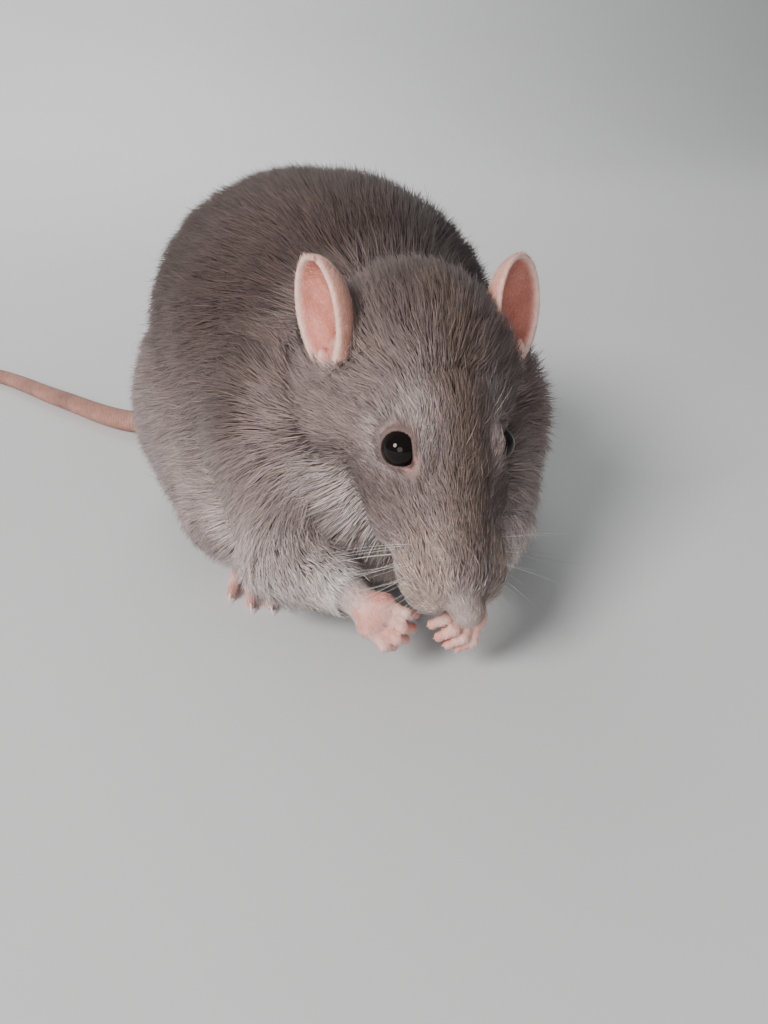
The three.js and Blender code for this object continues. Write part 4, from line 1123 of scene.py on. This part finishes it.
P0 = root - nrm * 0.12
P1, P2 = centre_line(None, L, lift_a, lift_b, lie, nrm, root)
pull = np.interp(high, [0, 1, 3, 6.5], [0.05, 0.20, 0.30, 0.34]) * RNG.uniform(0.5, 1.3, total)
P2 = P2 + (P2[own] - P2) * (pull * np.exp(-(np.linalg.norm(root[own] - root, axis=1) / 3.2) ** 2))[:, None]
P1 = P1 + (P1[own] - P1) * (0.35 * pull * np.exp(-(np.linalg.norm(root[own] - root, axis=1) / 3.2) ** 2))[:, None]

# colour of each tuft
col = coat_colour(root, nrm, r)
tone = np.exp(0.16 * RNG.standard_normal(total) + 0.09 * noise3(root[own], 0.9, 44))
kind = RNG.random(total)
tone = tone * np.where(kind < 0.13, 0.62, np.where(kind > 0.89, 1.34, 1.0))
pits = KDTree(len(whisk))
for i, q in enumerate(whisk):
    pits.insert(q[1], i)
pits.balance()
pad = np.nonzero((r["head"] < 2) & (r["f"] > 12))[0]
gap = np.fromiter((pits.find(p)[2] for p in root[pad]), float, len(pad))
tone[pad] *= 1 - 0.45 * np.exp(-(gap / 0.55) ** 2)
warm = 0.045 * RNG.standard_normal(total)
col = col * tone[:, None] * np.stack([1 + warm, 1 + 0 * warm, 1 - warm], 1)
ear_down = mix(np.tile(PALE, (total, 1)), PINK, np.full(total, 0.4))
col = np.where(on_ear[:, None], ear_down * tone[:, None] ** 0.5, col)
keep = np.ones(total, bool)

# guard hairs: a few longer, thinner, darker or paler ones on the body and crown
n_guard = 9000
gi = RNG.choice(np.nonzero((high > 2.2) & ~short)[0], n_guard, replace=False)
gl = L[gi] * RNG.uniform(1.12, 1.42, n_guard)
ga = lift_a[gi] + RNG.uniform(-0.05, 0.2, n_guard)
gb = lift_b[gi] + RNG.uniform(0.0, 0.28, n_guard)
G1, G2 = centre_line(None, gl, ga, gb, lie[gi], nrm[gi], root[gi])
gcol = coat_colour(root[gi], nrm[gi], {k: v[gi] for k, v in r.items()}) * np.where(RNG.random(n_guard) < 0.55, 0.55, 1.5)[:, None]
P0, P1, P2 = np.concatenate([P0, P0[gi]]), np.concatenate([P1, G1]), np.concatenate([P2, G2])
width = np.concatenate([width, width[gi] * 0.38])
col, keep = np.concatenate([col, gcol]), np.concatenate([keep, np.ones(n_guard, bool)])
nrm, root, L, short = np.concatenate([nrm, nrm[gi]]), np.concatenate([root, root[gi]]), np.concatenate([L, gl]), np.concatenate([short, short[gi]])

# where the body curves away, tips come back to the coat's outer form
stand = np.interp(np.concatenate([high, high[gi]]), [0.5, 2, 5], [0.25, 0.6, 1.0])
loose = stand * (0.35 + 2.3 * RNG.random(len(P2)) ** 2)
for P, room in ((P1, loose * 0.5), (P2, loose)):
    d = sampled(coat_form, P).astype(float)
    k = np.nonzero((d > room) & (np.concatenate([~short[:total], np.ones(n_guard, bool)])))[0]
    if len(k):
        g_ = gradient(coat_form, P[k], 0.3)
        back = d[k] - room[k]
        P[k] -= g_ / np.maximum((g_ * g_).sum(1, keepdims=True), 0.3) * np.minimum(back, 6)[:, None]

# tufts stay clear of the eyes, of the ears' hollows and of the floor
for P in (P1, P2, (P1 + P2) / 2, (P0 + P1) / 2):
    l, f, u = to_head(*(P[:, i].astype(F) for i in range(3)))
    o, d = eye_opening(np.abs(l), f, u)
    keep &= ~((d < EYE_R + 1.5) & (o < 0.22))
    keep &= ~(d < EYE_R + 0.12)
was_ear = np.concatenate([on_ear, np.zeros(n_guard, bool)])
for P in (P1, P2):
    x, y, z = (P[:, i].astype(F) for i in range(3))
    l, f, u = to_head(x, y, z)
    for side in ("left", "right"):
        w, h, k = to_ear(side, l, f, u)
        egg = ell(w, h, k, (0, 0, 0), (EAR_W, EAR_H, EAR_D))
        keep &= ~(((egg < 0.5) & (k < 0.8) & (h > -EAR_H * 1.12)) & ~was_ear)
hands_free = np.concatenate([on_hand, np.zeros(n_guard, bool)])
x, y, z = (P2[:, i].astype(F) for i in range(3))
inside_hand = np.minimum(hand_field("left", x, y, z), hand_field("right", x, y, z)) < 0.0
keep &= ~(inside_hand & ~hands_free)
P0, P1, P2, width, col, nrm, root, L, short = (v[keep] for v in (P0, P1, P2, width, col, nrm, root, L, short))
for P, zmin in ((P0, 0.35), (P1, 0.3), (P2, 0.12)):
    P[:, 2] = np.maximum(P[:, 2], zmin)
clock("tufts %d" % len(P0))


def atlas(p, n):
    """Roots on a six-sided unwrap of the skin: each side's roots by their own two axes, in cells that fill the square."""
    a = np.abs(n).argmax(1)
    chart = a * 2 + (n[np.arange(len(n)), a] > 0)
    used, counts = np.unique(chart, return_counts=True)
    used = [c for c, k in zip(used, counts) if k > 0.02 * len(n)]
    big = max(zip(counts, np.unique(chart)))[1]
    chart = np.where(np.isin(chart, used), chart, big)
    cols = math.ceil(math.sqrt(len(used)))
    rows = math.ceil(len(used) / cols)
    uv = np.zeros((len(p), 2))
    for i, c in enumerate(used):
        k = chart == c
        ax = [j for j in range(3) if j != c // 2]
        q = p[k][:, ax]
        lo, hi = q.min(0), q.max(0)
        q = (q - lo) / np.maximum(hi - lo, 1e-6)
        cell = np.array([i % cols, i // cols])
        size = np.array([0.985 / cols, 0.985 / rows])
        uv[k] = 0.006 + (cell + 0.01 + q * 0.97) * size
    return np.clip(uv, 0.004, 0.992)


PATCH = 0.003


def tuft_mesh(name, k, curved):
    """Three-sided closed tufts, pointed at both ends and widest at the bend if curved, else a plain spike."""
    p0, p1, p2, w, c, n = P0[k], P1[k], P2[k], width[k] / 2, col[k], nrm[k]
    m = len(p0)
    d1 = rows_unit(p2 - (p1 if curved else p0))
    e = rows_unit(np.cross(d1, n + 1e-3))
    g_ = np.cross(d1, e)
    roll = np.random.default_rng(len(name) + m).uniform(0, 2 * np.pi, m)
    at = p1 if curved else p0
    V = []
    for j in range(3):
        a = roll + 2 * np.pi * j / 3
        V.append(at + w[:, None] * (np.cos(a)[:, None] * e + np.sin(a)[:, None] * g_))
    V.append(p2)
    if curved:
        V.append(p0)
    nv = len(V)
    V = np.stack(V, 1)
    T = [(j, (j + 1) % 3, 3) for j in range(3)]
    T += [((j + 1) % 3, j, 4) for j in range(3)] if curved else [(0, 2, 1)]
    T = np.array(T)
    # each tuft's own patch of the map: across by thirds, along from root to tip
    uvT = []
    y1 = 0.5 if curved else 0.12
    for t in T:
        if set(t) == {0, 1, 2}:
            uvT.append([(0.05, 0.0), (0.95, 0.0), (0.5, y1 * 0.9)])
            continue
        js = sorted(v for v in t if v < 3)
        a, b = (2, 3) if js == [0, 2] else (js[0], js[0] + 1)
        uvT.append([((a + b) / 6, 1.0) if v == 3 else ((a + b) / 6, 0.0) if v == 4 else ((3 if (v == 0 and js == [0, 2]) else v) / 3, y1) for v in t])
    uvT = np.array(uvT)
    faces = (T[None] + (np.arange(m) * nv)[:, None, None]).reshape(-1, 3)
    V = V.reshape(-1, 3)
    V[:, 2] = np.maximum(V[:, 2], 0.05)
    uv = atlas(root[k], n)[:, None, None, :] - PATCH / 2 + uvT[None] * PATCH
    shade = np.array([0.90] * 3 + [1.20, 0.62] if curved else [0.72] * 3 + [1.12])
    colour = (c[:, None, :] * shade[None, :, None]).reshape(-1, 3)
    own_n = (V.reshape(m, nv, 3) - np.stack([at] * 3 + [p2 - d1 * 0.01] + ([p0 + d1 * 0.01] if curved else []), 1))
    own_n = own_n / np.maximum(np.linalg.norm(own_n, axis=2, keepdims=True), 1e-9)
    nn = 0.52 * n[:, None, :] + 0.68 * own_n + 0.10 * d1[:, None, :]
    nn = nn / np.linalg.norm(nn, axis=2, keepdims=True)
    return mesh_object(name, V, faces, COAT, np.clip(colour, 0.003, 0.95), nn.reshape(-1, 3), uv.reshape(-1, 2))


def halves(k, most):
    """Splits roots into compact groups of at most that many."""
    if len(k) <= most:
        return [k]
    ax = (root[k].max(0) - root[k].min(0)).argmax()
    o = k[np.argsort(root[k][:, ax], kind="stable")]
    return halves(o[:len(o) // 2], most) + halves(o[len(o) // 2:], most)


bend = (L > 2.6) & ~short
count = 0
for which, curved, each in ((np.nonzero(bend)[0], True, 6), (np.nonzero(~bend)[0], False, 4)):
    for k in halves(which, 195000 // each):
        count += 1
        o = tuft_mesh("coat_%02d" % count, k, curved)
        print("PIECE", o.name, len(o.data.polygons))
clock("coat meshes")

# ---------- floor, light, camera ----------
# the floor is flat under and around the rat, and sweeps up far behind it
sweep = [(-3.0, 0.0), (-0.5, 0.0), (0.55, 0.0)]
sweep += [(0.55 + 0.8 * math.sin(a), 0.8 * (1 - math.cos(a))) for a in np.linspace(0, np.pi / 2, 33)[1:]] + [(1.35, 3.2)]
floor_mesh = bpy.data.meshes.new("floor")
floor_mesh.from_pydata([(x, y, z) for y, z in sweep for x in (-5.0, 5.0)], [], [(2 * i, 2 * i + 1, 2 * i + 3, 2 * i + 2) for i in range(len(sweep) - 1)])
floor_mesh.polygons.foreach_set("use_smooth", [True] * len(floor_mesh.polygons))
floor = bpy.data.objects.new("floor", floor_mesh)
bpy.context.scene.collection.objects.link(floor)


def build_floor(nt, b):
    tc = nt.nodes.new("ShaderNodeTexCoord")
    n = noise_of(nt, tc.outputs["Object"], 8.0)
    ramp = nt.nodes.new("ShaderNodeValToRGB")
    ramp.color_ramp.elements[0].color = (0.60, 0.605, 0.60, 1)
    ramp.color_ramp.elements[1].color = (0.64, 0.645, 0.64, 1)
    nt.links.new(n, ramp.inputs["Fac"])
    nt.links.new(ramp.outputs["Color"], b.inputs["Base Color"])


floor.data.materials.append(material("floor", 0.8, build_floor))


def lamp(name, at, aim, size, power, colour=(1, 1, 1)):
    d = bpy.data.lights.new(name, "AREA")
    d.shape, d.size, d.energy, d.color = "DISK", size, power, colour
    o = bpy.data.objects.new(name, d)
    o.location = at
    o.rotation_mode = "QUATERNION"
    o.rotation_quaternion = (Vector(aim) - Vector(at)).to_track_quat("-Z", "Y")
    bpy.context.scene.collection.objects.link(o)
    return o


AIM = (0.05, -0.06, 0.035)
lamp("key", (-0.74, -0.42, 0.70), AIM, 0.42, 15.0, (1.0, 0.985, 0.975))
lamp("front", (-0.40, -1.0, 0.34), AIM, 0.6, 3.6, (0.97, 0.98, 1.0))
lamp("rim", (0.1, 0.7, 0.6), AIM, 0.6, 1.5)
lamp("backdrop", (0.0, 0.45, 0.95), (0.0, 1.5, 0.45), 0.8, 9.0)
world = bpy.data.worlds.new("world")
bpy.context.scene.world = world
world.use_nodes = True
world.node_tree.nodes["Background"].inputs["Color"].default_value = (0.78, 0.80, 0.82, 1)
world.node_tree.nodes["Background"].inputs["Strength"].default_value = 0.36

cam = bpy.data.cameras.new("camera")
cam.sensor_width, cam.lens = 36.0, 770.0 * 36.0 / 1024.0
cam.clip_start, cam.clip_end = 0.005, 50
co = bpy.data.objects.new("camera", cam)
bpy.context.scene.collection.objects.link(co)
co.location = (np.array([-52.716, -154.502, 97.0]) + SHIFT) / 1000.0
co.rotation_mode = "QUATERNION"
co.rotation_quaternion = Vector((0.32442, 0.80296, -0.5)).to_track_quat("-Z", "Y")
bpy.context.scene.camera = co

bpy.context.view_layer.update()
clock("all")
